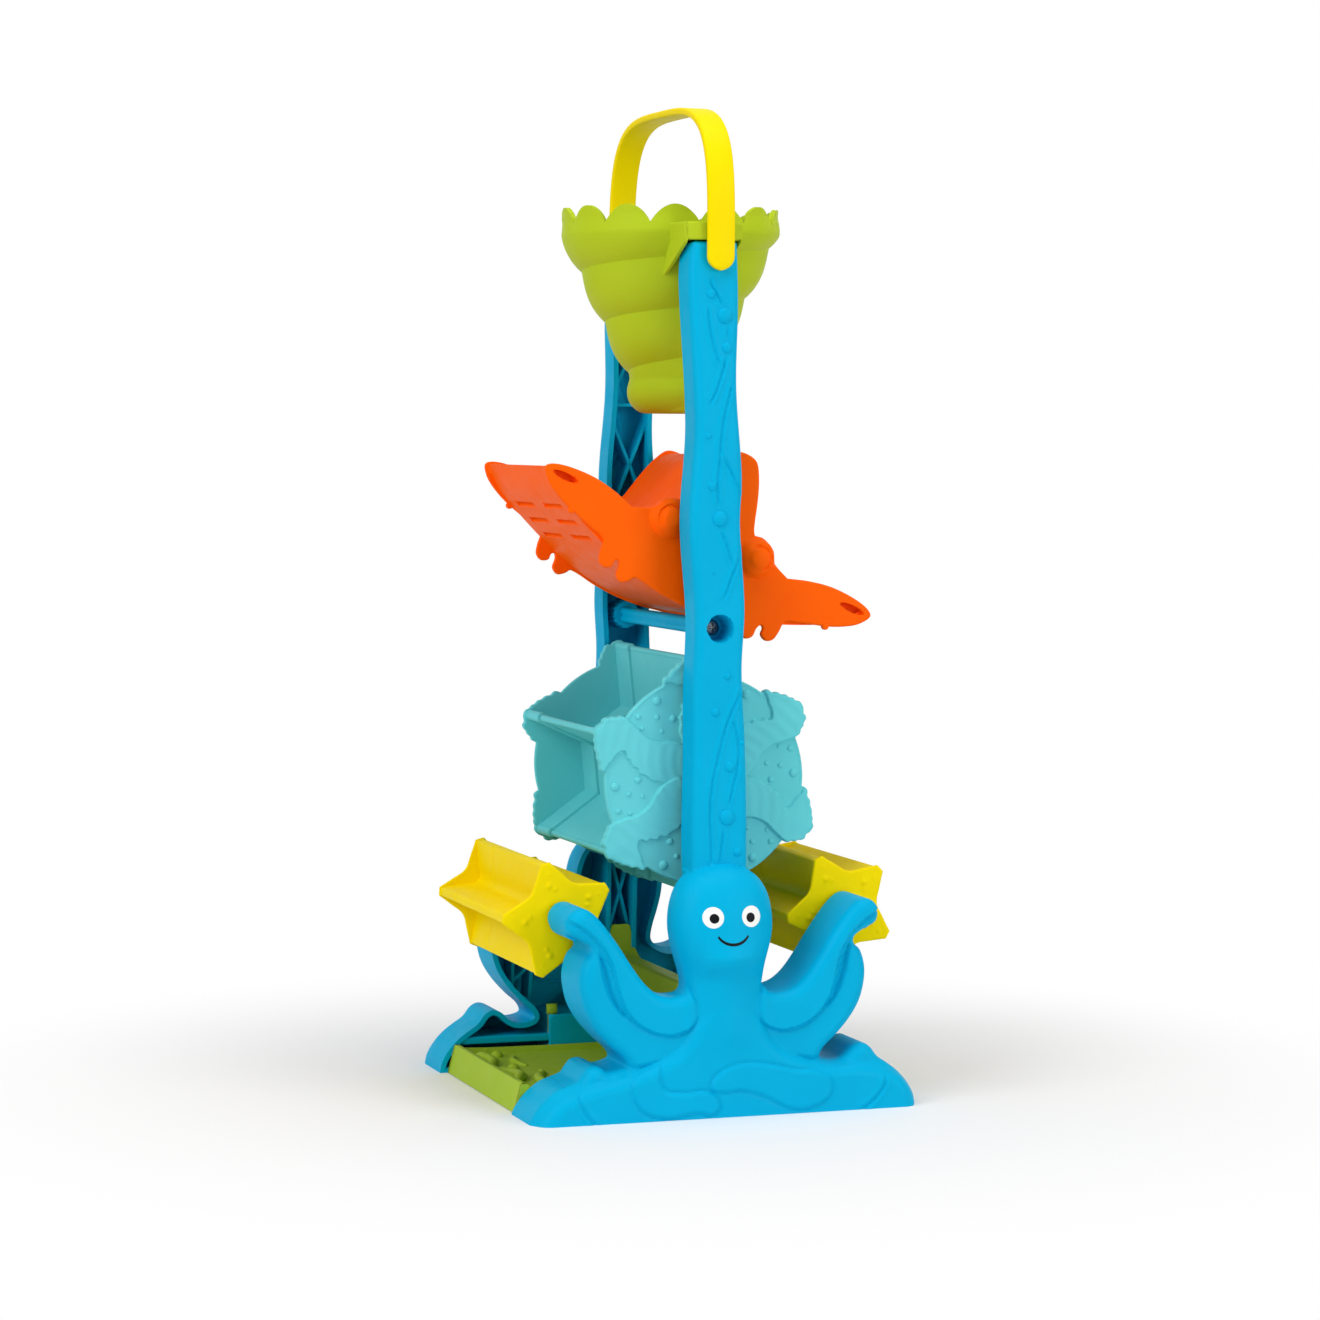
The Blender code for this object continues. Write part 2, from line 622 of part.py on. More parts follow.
def weave(shape, columns, per_turn):
    """Skin helical columns; the last one meets the first a whole turn higher."""
    grid = [[shape.verts.new(point) for point in column] for column in columns]
    last = len(grid[0]) - 1
    for step, column in enumerate(grid):
        shift = per_turn if step == len(grid) - 1 else 0
        beside = grid[(step + 1) % len(grid)]
        for row in range(-shift, last):
            corners = (column[max(row, 0)], beside[min(row + shift, last)],
                       beside[min(row + 1 + shift, last)], column[max(row + 1, 0)])
            distinct = list(dict.fromkeys(corners))
            if len(distinct) > 2:
                shape.faces.new(distinct)
    return [column[0] for column in grid], [column[-1] for column in grid]


def lace(shape, ring, other):
    """Join two rings of equal count."""
    for i in range(len(ring)):
        j = (i + 1) % len(ring)
        shape.faces.new((ring[i], ring[j], other[j], other[i]))


def helical_body(name, steps, inset, wall, extra=0.0):
    """The funnel's wall, or with no wall thickness a solid plug of the funnel's form."""
    shape = bmesh.new()
    phases = (0.0, 0.22, 0.55, 0.85)
    foot, rim = weave(shape, funnel_skin(steps, phases, inset, FUNNEL_BOTTOM), len(phases))
    if wall:
        coarse = (0.0, 0.45)
        floor = FUNNEL_BOTTOM + wall
        inner_foot, inner_rim = weave(shape, funnel_skin(steps, coarse, inset + wall, floor), len(coarse))
        angles = [2 * math.pi * (i / steps - 0.5) - math.pi / 2 for i in range(steps)]
        hole = [(OUTLET_R * math.cos(a), OUTLET_R * math.sin(a)) for a in angles]
        low = [shape.verts.new((x, y, FUNNEL_BOTTOM)) for x, y in hole]
        high = [shape.verts.new((x, y, floor)) for x, y in hole]
        for ring, other in ((foot, low), (low, high), (high, inner_foot), (inner_rim, rim)):
            lace(shape, ring, other)
    else:
        crown = [shape.verts.new(vert.co + Vector((0, 0, extra))) for vert in rim]
        lace(shape, rim, crown)
        shape.faces.new(foot)
        shape.faces.new(crown)
    bmesh.ops.remove_doubles(shape, verts=shape.verts, dist=1e-6)
    bmesh.ops.dissolve_degenerate(shape, edges=shape.edges, dist=1e-6)
    return link_mesh(name, shape)


def funnel():
    """Spiral hopper with a scalloped rim, an outlet, and an ear over each post."""
    steps = SCALLOPS * 4
    body = helical_body("funnel", steps, 0.0, WALL)
    core = helical_body("funnel_core", steps, WALL / 2, 0.0, extra=0.006)
    for end in (-1, 1):
        ear = funnel_ear(end)
        combine(ear, copied(core), "DIFFERENCE")
        fuse(body, ear)
    bpy.data.objects.remove(core, do_unlink=True)
    return as_part(simplified(body, 2), LIME)


def copied(made):
    twin = bpy.data.objects.new(made.name + "_copy", made.data.copy())
    CUTTERS.objects.link(twin)
    return twin


def funnel_ear(end):
    """Block that sits on a post's top between two gussets that hug the post's sides."""
    seat = POST_TOP + GAP
    reach = face_at(POST_TOP)
    left = -max(half for part, half in POST_LEFT if part > 0.8) * MM - 2 * GAP
    right = max(half for part, half in POST_RIGHT if part > 0.8) * MM + 2 * GAP
    ear = box("ear", (left - EAR_WALL, -reach, seat), (right + EAR_WALL, -RIM_R * 0.70, seat + EAR_H))
    top = seat + EAR_H - GAP / 2
    root = -RIM_R * 0.62
    gusset = [(-reach, top), (-reach, seat - GAP), (GUSSET_NOSE - reach, seat - GUSSET_DROP * 0.4)]
    gusset += [(root, seat - GUSSET_DROP), (root, top)]
    for low, high in ((left - EAR_WALL, left), (right, right + EAR_WALL)):
        plate = polygon("gusset", gusset, -high, -low)
        plate.data.transform(Matrix.Rotation(math.pi / 2, 4, "Z"))
        fuse(ear, plate)
    if end > 0:
        ear.data.transform(Matrix.Rotation(math.pi, 4, "Z"))
    return ear


def seesaw():
    """Crab-shaped tipping tray: two side plates, a sieve floor and a dividing wedge."""
    plate_in = SEESAW_HALF - SEESAW_PLATE
    crab = [(0, 50.6), (5, 49.4)] + CRAB_HALF
    tray = slab("seesaw", mirrored(crab), -SEESAW_HALF, -plate_in, detail=2)
    fuse(tray, slab("plate", mirrored(crab), plate_in, SEESAW_HALF, detail=2))
    lap = plate_in + SEESAW_PLATE / 2
    upper = [(max(0, x - 0.6), z + SEESAW_PLATE / MM) for x, z in reversed(FLOOR_HALF)]
    right = FLOOR_HALF + [FLOOR_TIP] + upper
    fuse(tray, slab("floor", mirrored(right), -lap, lap, detail=1))
    fuse(tray, slab("wedge", mirrored(WEDGE_HALF), -lap, lap, detail=1))
    cut(tray, slab("wedge_hollow", mirrored(WEDGE_HALF[:-1] + [(31, -19, "V")]), -plate_in + WALL,
                   plate_in - WALL, inset=WALL, detail=1))
    for side in (-1, 1):
        for along in SIEVE_ROWS:
            cut(tray, sieve_slot(side, along, -1, plate_in), sieve_slot(side, along, 1, plate_in))
        for end in (-1, 1):
            fuse(tray, ball("eye", (side * EYE_X, end * (SEESAW_HALF - 0.001), EYE_Z),
                            (EYE_R, EYE_BULGE + 0.001, EYE_R), 12, 6))
            cut(tray, ball("claw_slit", (side * CLAW_SLIT_X, end * SEESAW_HALF, CLAW_SLIT_Z), CLAW_SLIT, 10, 6))
    pin_reach = face_at(SEESAW_Z) - 2 * WALL - GAP
    for end in (-1, 1):
        low, high = sorted((end * (SEESAW_HALF - SEESAW_PLATE / 2), end * pin_reach))
        fuse(tray, rod("pin", 0, 0, low, high, SEESAW_PIN_R))
    simplified(tray, 3)
    tray.data.transform(Matrix.Rotation(math.radians(SEESAW_TILT), 4, "Y"))
    tray.location = (0, 0, SEESAW_Z)
    return as_part(tray, ORANGE)


def sieve_slot(side, along, half, plate_in):
    """One drain slot through the floor near an end of the seesaw."""
    length = plate_in * 0.60
    middle = half * plate_in * 0.46
    reach = 0.012
    shape = box("slot", (-SIEVE_SLOT_W / 2, middle - length / 2, -reach),
                (SIEVE_SLOT_W / 2, middle + length / 2, reach))
    shape.data.transform(Matrix.Translation((side * along, 0, along * 0.42 - 0.027)))
    return shape


def star_points(tip, valley, points, phase, tip_width, soft=True):
    """A star outline in millimetres, with each tip a short flat and each valley rounded."""
    outline = []
    for i in range(points):
        middle = math.radians(phase + 360 / points * i)
        spread = math.asin(min(0.9, tip_width / 2 / tip))
        for angle in (middle - spread, middle + spread):
            outline.append((tip * math.cos(angle) / MM, tip * math.sin(angle) / MM, "V"))
        low = middle + math.pi / points
        outline.append((valley * math.cos(low) / MM, valley * math.sin(low) / MM, *(() if soft else ("V",))))
    return outline


def star_half(name, side, end):
    """One half of a star wheel: an end plate, its share of the vanes, and a pin."""
    axis_x = STAR_X if side == "right" else -STAR_X
    phase = STAR_PHASE[side]
    split = STAR_HALF - STAR_SEAM
    if end < 0:
        plate, core = (-STAR_HALF, STAR_PLATE - STAR_HALF), (STAR_PLATE / 2 - STAR_HALF, split - GAP / 2)
    else:
        plate, core = (STAR_HALF - STAR_PLATE, STAR_HALF), (split + GAP / 2, STAR_HALF - STAR_PLATE / 2)
    half = slab(name, star_points(STAR_R, STAR_VALLEY_R, 5, phase, STAR_TIP_W), *plate, detail=2)
    vanes = star_points(STAR_R - 2 * GAP, STAR_HUB_R, 5, phase, STAR_VANE_TIP_W)
    fuse(half, slab("vanes", vanes, *core, detail=2))
    low, high = sorted((end * (STAR_HALF - STAR_PLATE / 2), end * (BODY_INNER + 0.010)))
    fuse(half, rod("pin", 0, 0, low, high, STAR_PIN_R))
    half.location = (axis_x, 0, STAR_Z)
    return as_part(half, YELLOW)


def wheel_rays():
    """Outline of six frilled rays that reach past the wheel's disc."""
    outline = []
    for i in range(6):
        middle = WHEEL_PHASE + 30 + 60 * i
        for turn, reach in RAY:
            radius = WHEEL_HUB_R + (WHEEL_DISC_R - WHEEL_HUB_R) * min(reach, 1.0)
            radius += (WHEEL_R - WHEEL_DISC_R) * max(reach - 1.0, 0.0)
            angle = math.radians(middle + turn)
            outline.append((radius * math.cos(angle) / MM, radius * math.sin(angle) / MM))
    return outline


def wheel_half(name, end):
    """One half of the sand wheel: disc, frilled rays, hub, six vanes and a pin."""
    split = WHEEL_HALF - WHEEL_SEAM
    face = WHEEL_HALF - RELIEF
    disc = (face - WALL, face)
    core = (split + GAP / 2, face - WALL / 2)
    if end < 0:
        core = (GAP / 2 - split, face - WALL / 2)
    half = rod(name, 0, 0, *disc, WHEEL_DISC_R, sides=48)
    fuse(half, slab("rays", wheel_rays(), face - WALL * 0.6, WHEEL_HALF, detail=1))
    hub = rod("hub", 0, 0, *core, WHEEL_HUB_R, sides=6)
    hub.data.transform(Matrix.Rotation(math.radians(-WHEEL_PHASE), 4, "Y"))
    fuse(half, hub)
    for i in range(6):
        angle = math.radians(WHEEL_PHASE + 30 + 60 * i)
        vane = box("vane", (WHEEL_HUB_R * 0.8, core[0], -WHEEL_VANE / 2),
                   (WHEEL_R - 0.0014, core[1], WHEEL_VANE / 2))
        vane.data.transform(Matrix.Rotation(-angle, 4, "Y"))
        fuse(half, vane)
    bore = rod("bore", 0, 0, core[0] - 0.002, face - WALL, WHEEL_HUB_R - WALL * 1.4, sides=6)
    bore.data.transform(Matrix.Rotation(math.radians(-WHEEL_PHASE), 4, "Y"))
    cut(half, bore)
    pin_reach = face_at(WHEEL_Z) - 2 * WALL - GAP
    fuse(half, rod("pin", 0, 0, face - WALL / 2, pin_reach, WHEEL_PIN_R))
    if end < 0:
        half.data.transform(Matrix.Scale(-1, 4, (0, 1, 0)))
        half.data.flip_normals()
    half.location = (0, 0, WHEEL_Z)
    return as_part(half, AQUA)


def ramp_height(x):
    """Height of the tray's ramp, from its flat ridge down to the floor at both sides."""
    shoulder, foot = 0.009, 0.055
    if x <= 0.0045:
        return RIDGE_TOP
    if x <= shoulder:
        share = (x - 0.0045) / (shoulder - 0.0045)
        return RIDGE_TOP + (RIDGE_SHOULDER - RIDGE_TOP) * math.sin(share * math.pi / 2)
    share = min(1.0, (x - shoulder) / (foot - shoulder))
    return TRAY_FLOOR + (RIDGE_SHOULDER - TRAY_FLOOR) * (1 - share) ** 1.6


def base_tray():
    """Ramped tray between the frames, hollow underneath, with low sloping end walls."""
    stations = [0.0, 0.0045, 0.0056, 0.007, 0.009, 0.015, 0.022, 0.030, 0.040, 0.055]
    wall_top = TRAY_HALF_W - 0.0030
    right = [(x, ramp_height(x)) for x in stations]
    right += [(wall_top - 0.0050, TRAY_FLOOR), (wall_top - 0.0022, TRAY_WALL_H)]
    right += [(wall_top, TRAY_WALL_H), (TRAY_HALF_W, GAP)]
    outline = right + [(-x, z) for x, z in reversed(right) if x > 0]
    tray = polygon("base_tray", outline, -TRAY_HALF_D, TRAY_HALF_D)
    under = [(x, ramp_height(x + WALL * 0.6) - WALL) for x in stations]
    under += [(wall_top - 0.0060, TRAY_FLOOR - WALL), (wall_top - 0.0055, -0.01)]
    hollow = under + [(-x, z) for x, z in reversed(under) if x > 0]
    cut(tray, polygon("tray_hollow", hollow, WALL - TRAY_HALF_D, TRAY_HALF_D - WALL))
    return as_part(tray, LEAF)


end_frames()
tie_bar()
tie_screw("tie_screw_front", -1)
tie_screw("tie_screw_rear", 1)
handle()
funnel()
seesaw()
for side_name in ("left", "right"):
    star_half(f"star_{side_name}_front_half", side_name, -1)
    star_half(f"star_{side_name}_rear_half", side_name, 1)
wheel_half("wheel_front_half", -1)
wheel_half("wheel_rear_half", 1)
base_tray()
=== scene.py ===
"""Looks of the sand tower: smooth mouldings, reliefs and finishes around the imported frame."""
import json
import math

import bmesh
import bpy
import numpy as np
from mathutils import Matrix, Vector
from mathutils.geometry import delaunay_2d_cdt

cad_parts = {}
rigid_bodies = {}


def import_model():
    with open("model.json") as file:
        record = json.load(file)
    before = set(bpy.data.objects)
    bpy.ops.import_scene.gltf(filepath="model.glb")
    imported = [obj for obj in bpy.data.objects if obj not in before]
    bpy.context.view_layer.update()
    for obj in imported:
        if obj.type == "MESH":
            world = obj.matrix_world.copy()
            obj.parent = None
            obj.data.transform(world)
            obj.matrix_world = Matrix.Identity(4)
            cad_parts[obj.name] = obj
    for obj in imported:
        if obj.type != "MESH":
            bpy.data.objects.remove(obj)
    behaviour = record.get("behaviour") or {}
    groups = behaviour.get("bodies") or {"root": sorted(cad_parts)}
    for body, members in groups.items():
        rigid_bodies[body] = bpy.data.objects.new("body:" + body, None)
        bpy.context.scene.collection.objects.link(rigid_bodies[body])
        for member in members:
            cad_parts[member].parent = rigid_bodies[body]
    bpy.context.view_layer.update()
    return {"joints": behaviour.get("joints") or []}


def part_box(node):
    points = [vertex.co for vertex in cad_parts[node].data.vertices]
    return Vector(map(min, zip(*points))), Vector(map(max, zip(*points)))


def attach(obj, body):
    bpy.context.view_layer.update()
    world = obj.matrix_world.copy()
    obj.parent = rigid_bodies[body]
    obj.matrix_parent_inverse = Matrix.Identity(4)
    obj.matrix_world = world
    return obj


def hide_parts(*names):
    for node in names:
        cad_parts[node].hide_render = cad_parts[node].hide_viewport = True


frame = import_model()

MM = 0.001
SMOOTH_ANGLE = 38
NOWHERE = -99.0
AXLE = {joint["name"]: Vector(joint["pos_m"]) for joint in frame["joints"]}

# End frames, in millimetres: the outer faces lean towards each other as they rise
FACE_Y = 74.8
LEAN = 0.0363
POST_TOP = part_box("front_frame")[1].z / MM
POST_FOOT = 60.0
POST_DEPTH = 14.5
BODY_INNER = 50.8
WALL = 2.3
PLATE_PROUD = 5.0
TRUNK_PROUD = 5.8
BASE_PROUD = 9.0
ARM_HOLLOW_DEPTH = 2.3
TIE_Z = 202.7
RECESS_R = 5.75
RECESS_DEPTH = 11.6
PIN_CLEARANCE = 0.3
SKIN_STEP = 0.76
LOOP_STEP = 1.2

# Head of the octopus: its dome, and how deep its left side is
HEAD_CENTRE = (0, 79)
HEAD_HALF = (21.8, 25.5)
HEAD_BULGE = 15.0
HEAD_DEPTH = 6.0

# Ledges inside the foot: (left, right, setback, depth, floor, top)
SHELF = (-36.0, 36.0, 0.0, 28.0, 8.0, 23.7)
SILL = (-69.5, 77.0, 0.4, 25.5, 12.0, 15.2)

# Ribs inside a frame: heights in the post, ends (x, z) in the right arm, and two walls with a cross
# between them in the head, the walls as (from, to, front)
RIB = 1.5
RIB_END = POST_DEPTH - 3.0
POST_CROSSES = ((110, 138), (152, 190), (246, 290), (302, 344))
POST_BARS = (106, 216, 296.5)
ARM_RIBS = (((36, 50), (52, 36)), ((45, 62), (61, 56)), ((50, 74), (50, 33)), ((40, 60), (42, 30)))
HEAD_WALL_X = 6.2
HEAD_WALLS = ((50, 97, -6.5), (96, 106, 0.0))
HEAD_CROSS = (55, 99)

# Radius of the sockets that hold the pins
POST_SOCKETS = {"seesaw_tip": 3.8, "wheel_spin": 4.3}
ARM_SOCKETS = {"star_left_spin": 3.3, "star_right_spin": 3.3}

# Outlines of a frame, (x, z): the octopus, its base, and the post's half widths by share of height
BODY_HALF = [
    (0, 104.5), (8, 103.4), (14.5, 100.2), (18.9, 95), (21.3, 88.5), (22.2, 81), (21.6, 74),
    (19.8, 66.5), (17.8, 59.5), (17.2, 54), (19.5, 51), (24.5, 50.4), (30, 52), (35.2, 56.2),
    (41, 63.8), (46.2, 71.8), (51.2, 78.8), (56, 84.6), (61, 88.2), (66, 87.8), (69.4, 83.5),
    (68.6, 78.4), (63.5, 75.6), (59, 72.6), (58.4, 70), (61.4, 66.8), (63.4, 60), (63.2, 53.5),
    (61, 45.5), (56.4, 38), (50, 31), (44.5, 26), (43, 22.6), (47, 20.8), (52.5, 21), (56, 23.4),
    (59, 26), (62.5, 27), (66, 25.4), (69.6, 21), (74, 18), (79, 14.2), (83.2, 9.4), (86, 4.4),
    (87, -1), (88, -9, "V"),
]
# The left foot, which is lower than the right one
FOOT_LEFT = [
    (51.5, 20.4), (54, 22.2), (57, 22.8), (59.8, 22), (61.8, 19.8), (63.8, 17), (68, 15.3),
    (73.4, 13.3), (79.4, 8.6), (83.6, 3.2), (85.4, -1), (87, -9, "V"),
]
BASE_HALF = [
    (0, 47), (7, 46.2), (12, 42.8), (15.6, 38), (18.8, 32.8), (23, 28.4), (29, 25), (38, 21.4),
    (47, 19.4), (58, 19.8), (68, 18), (77, 14), (81.8, 9.2), (84.4, 4.2), (85.4, -1),
    (86.4, -9, "V"),
]
BASE_LEFT = [
    (47, 18.4), (56, 16.6), (62.5, 14.8), (68, 13.2), (73.5, 10.8), (78.2, 6.8), (81.8, 2.2),
    (83.4, -1.6), (84.8, -9, "V"),
]
POST_RIGHT = [
    (1, 8.8), (0.914, 9.3), (0.8, 8.4), (0.678, 10.7), (0.612, 9.8), (0.497, 11.7), (0.411, 10.3),
    (0.296, 11.7), (0.164, 12), (0, 11),
]
POST_LEFT = [
    (0, 11), (0.164, 12.6), (0.296, 11.8), (0.382, 11.6), (0.484, 10.4), (0.615, 12.8),
    (0.75, 10.1), (0.947, 12.8), (1, 11.6),
]

# Right arm, as regions over the plate: the upper arm, the whole arm, and the hollow between
UPPER_ARM = [
    (66, 82.5), (58, 76.5), (53, 70), (50, 63.5), (48.6, 57), (46.5, 50), (42.7, 43.5),
    (37.3, 38.7), (30.3, 35.6), (23.5, 35), (17.5, 37), (14.5, 40.5), (13.5, 45), (17, 54),
    (30, 66), (44, 84), (56, 98), (76, 96), (74, 86),
]
WHOLE_ARM = [
    (48, 23), (43, 22.6), (37.5, 22.5), (29, 24.2), (20, 27.7), (14.5, 30), (11.5, 33.5),
    (10.5, 38), (12, 46), (17, 54), (30, 66), (44, 84), (56, 98), (80, 96), (82, 66), (74, 40),
    (60, 27),
]
ARM_HOLLOW = [
    (55.4, 71.6), (52.2, 66), (50.4, 60), (48.6, 54), (46.2, 48), (43.4, 43.6), (44.8, 42.8),
    (48.8, 46.4), (52.2, 52), (54.5, 58.5), (55.8, 65), (56.6, 70.6),
]

# Kelp in the posts: stems engraved with (lip, cut, width), and bubbles (x, z, radius) beside them
KELP_GROOVE = (0.34, 0.5, 0.55)
KELP_STEMS = [
    [(-4, 350), (-3, 345), (0, 340), (2, 336)],
    [(3.6, 329.5), (3.6, 322)],
    [(3, 317), (2, 311), (0, 305), (-2, 300), (-5, 295)],
    [(-5, 338), (-4.4, 330), (-2.4, 320), (0.5, 311)],
    [(6.4, 306), (4, 298), (2, 290), (0.8, 282), (0, 272), (-1, 262), (-0.6, 253)],
    [(0.4, 277), (4, 270), (8, 262), (10, 256)],
    [(0, 244.5), (2, 240), (4, 234), (5.6, 228)],
    [(8.4, 240), (8.8, 233), (6, 226), (3.6, 220), (1, 213.5)],
    [(10, 180), (8, 174), (5, 168), (2.5, 162), (-1, 150), (-4, 137), (-5, 125), (-4.6, 112),
     (-4.6, 103)],
    [(4.5, 166), (6.6, 160), (8, 152), (7, 143), (5, 135), (3.4, 128)],
    [(1.2, 120), (0, 111), (-1, 103)],
]
KELP_BUBBLES = [
    (2.5, 333, 3.3), (3.5, 319.6, 2.3), (-3.6, 342, 2.1), (-5, 283, 1.4), (-3.5, 262, 1.9),
    (0, 248.5, 3.4), (3, 183, 1.7), (-2.5, 168, 1.9), (4, 145, 2.3), (2.5, 124, 3.3),
    (7, 109.5, 2.0), (9.4, 155, 0.9), (-3, 226, 0.8),
]

# Tentacles curled on the base: two outlines, and the near edges of two more
CURL_RIGHT = [
    (-8, 12), (-6.5, 16.5), (0, 20.5), (8, 22), (18, 20.8), (30, 18), (40, 17.2), (45, 13),
    (45.5, 8), (41, 4), (32, 1.6), (25, 3.2), (15, 8.2), (5, 11), (-3, 10.6),
]
CURL_LEFT = [
    (-41, 19), (-42.5, 12), (-40, 6), (-34, 2.2), (-25, 1.2), (-15, 2.6), (-8, 1.4), (-4.6, 4.4),
    (-6, 8.6), (-11, 11), (-20, 10.8), (-28, 12), (-31, 17), (-30, 24),
]
CURL_GROOVE = (0.35, 0.6, 0.7)
CURL_FAR = [(-64, 17.6), (-65.4, 10), (-62.5, 4), (-57, -2)]
CURL_NEAR = [(71, 15), (69.5, 9), (64, 3), (58, -1)]


def smooth_path(points, step, closed=False):
    """Rounded path through points; a last value "V" keeps a corner, further numbers go along."""
    corner = [p[-1] == "V" for p in points]
    knots = np.array([p[:-1] if sharp else p for p, sharp in zip(points, corner)], float)
    count = len(knots)
    out = []
    for i in range(count if closed else count - 1):
        ends = (i, (i + 1) % count)
        a, b = knots[ends[0]], knots[ends[1]]
        chord = np.linalg.norm(b[:2] - a[:2])
        slopes = []
        for index in ends:
            if corner[index] or (not closed and index in (0, count - 1)):
                slopes.append(b - a)
                continue
            low, here, high = knots[index - 1], knots[index], knots[(index + 1) % count]
            reach = np.linalg.norm(here[:2] - low[:2]) + np.linalg.norm(high[:2] - here[:2])
            slopes.append((high - low) / reach * chord)
        t = np.linspace(0, 1, max(2, math.ceil(chord / step) + 1))[:-1, None]
        out.append((2 * t**3 - 3 * t**2 + 1) * a + (t**3 - 2 * t**2 + t) * slopes[0]
                   + (3 * t**2 - 2 * t**3) * b + (t**3 - t**2) * slopes[1])
    if not closed:
        out.append(knots[-1:])
    return np.vstack(out)


def mirrored(half, left_end=()):
    """A closed outline from its right-hand half, which starts on the centre line. The left half may
    end in points of its own, low and further out than those it keeps."""
    left = list(half)
    if left_end:
        last_x, low_z = left_end[0][0] - 2, 30
        left = [p for p in half if p[0] < last_x or p[1] > low_z] + left_end
    return list(half) + flipped(p for p in reversed(left) if p[0] != 0)


def flipped(path):
    """The same path on the other side of the centre line."""
    return [(-p[0], *p[1:]) for p in path]


def path_distance(points, path):
    """Distance of each point to a polyline, and where along it, in knots, the nearest place is."""
    nearest = np.full(len(points), np.inf)
    along = np.zeros(len(points))
    for i, (a, b) in enumerate(zip(path[:-1], path[1:])):
        run = b - a
        t = np.clip(((points - a) @ run) / max(run @ run, 1e-12), 0, 1)
        gap = np.linalg.norm(points - a - t[:, None] * run, axis=1)
        closer = gap < nearest
        nearest[closer] = gap[closer]
        along[closer] = i + t[closer]
    return nearest, along


def inside(points, loop):
    """True for each point inside a closed loop."""
    odd = np.zeros(len(points), bool)
    for a, b in zip(loop, np.roll(loop, -1, 0)):
        if a[1] == b[1]:
            continue
        crosses = (a[1] > points[:, 1]) != (b[1] > points[:, 1])
        x = a[0] + (points[:, 1] - a[1]) / (b[1] - a[1]) * (b[0] - a[0])
        odd ^= crosses & (points[:, 0] < x)
    return odd


def depth_inside(points, loop):
    """Distance to a loop, positive inside and negative outside."""
    gap, _ = path_distance(points, np.vstack([loop, loop[:1]]))
    return np.where(inside(points, loop), gap, -gap)


def inset_row(loop, amount):
    """Points of a loop moved inwards, without those that come too near another stretch of it."""
    ahead = np.roll(loop, -1, 0) - np.roll(loop, 1, 0)
    normal = np.stack([-ahead[:, 1], ahead[:, 0]], 1) / np.linalg.norm(ahead, axis=1)[:, None]
    area = np.sum(loop[:, 0] * np.roll(loop[:, 1], -1) - loop[:, 1] * np.roll(loop[:, 0], -1))
    moved = loop + normal * amount * (1 if area > 0 else -1)
    return moved[depth_inside(moved, loop) > amount * 0.97]


def edge_round(depth, radius):
    """Drop of a surface near a rounded edge."""
    short = np.clip(radius - depth, 0, radius)
    return radius - np.sqrt(np.maximum(radius**2 - short**2, 0))


def soft_max(a, b, blend):
    """Larger of two heights, with the crease between them filled."""
    near = np.maximum(blend - np.abs(a - b), 0) / blend
    return np.maximum(a, b) + near**2 * blend / 4


def ramp(value, low, high):
    """Smooth step from 0 at low to 1 at high."""
    t = np.clip((value - low) / (high - low), 0, 1)
    return t * t * (3 - 2 * t)


def linked(name, data):
    """A new object in the scene."""
    made = bpy.data.objects.new(name, data)
    bpy.context.scene.collection.objects.link(made)
    return made


def mesh_object(name, verts, faces):
    """An object from points in millimetres."""
    data = bpy.data.meshes.new(name)
    data.from_pydata((np.asarray(verts) * MM).tolist(), [], faces)
    data.update()
    return linked(name, data)


def shaded(made):
    """Shade smoothly between crisp edges."""
    made.data.shade_smooth()
    made.data.set_sharp_from_angle(angle=math.radians(SMOOTH_ANGLE))
    return made


def tidy_normals(made):
    """Weld, turn faces outwards and shade smoothly between crisp edges."""
    shape = bmesh.new()
    shape.from_mesh(made.data)
    bmesh.ops.remove_doubles(shape, verts=shape.verts, dist=1e-7)
    bmesh.ops.recalc_face_normals(shape, faces=shape.faces)
    shape.to_mesh(made.data)
    shape.free()
    return shaded(made)


def joined(name, pieces):
    """One object from several, each already closed and turned outwards."""
    shape = bmesh.new()
    for piece in pieces:
        shape.from_mesh(piece.data)
    data = bpy.data.meshes.new(name)
    shape.to_mesh(data)
    shape.free()
    for piece in pieces:
        bpy.data.objects.remove(piece, do_unlink=True)
    return shaded(linked(name, data))


def applied(made, modifier):
    """Give an object the mesh that its modifier makes, and take the modifier off."""
    bpy.context.view_layer.update()
    grown = made.evaluated_get(bpy.context.evaluated_depsgraph_get())
    data = bpy.data.meshes.new_from_object(grown)
    made.modifiers.remove(modifier)
    made.data = data
    return made


def tube(name, rings):
    """A closed tube through rings of points."""
    count = len(rings[0])
    last = (len(rings) - 1) * count
    faces = [tuple(range(count)), tuple(range(last, last + count))]
    for i in range(0, last, count):
        for j in range(count):
            k = (j + 1) % count
            faces.append((i + j, i + k, i + count + k, i + count + j))
    return tidy_normals(mesh_object(name, np.vstack(rings), faces))


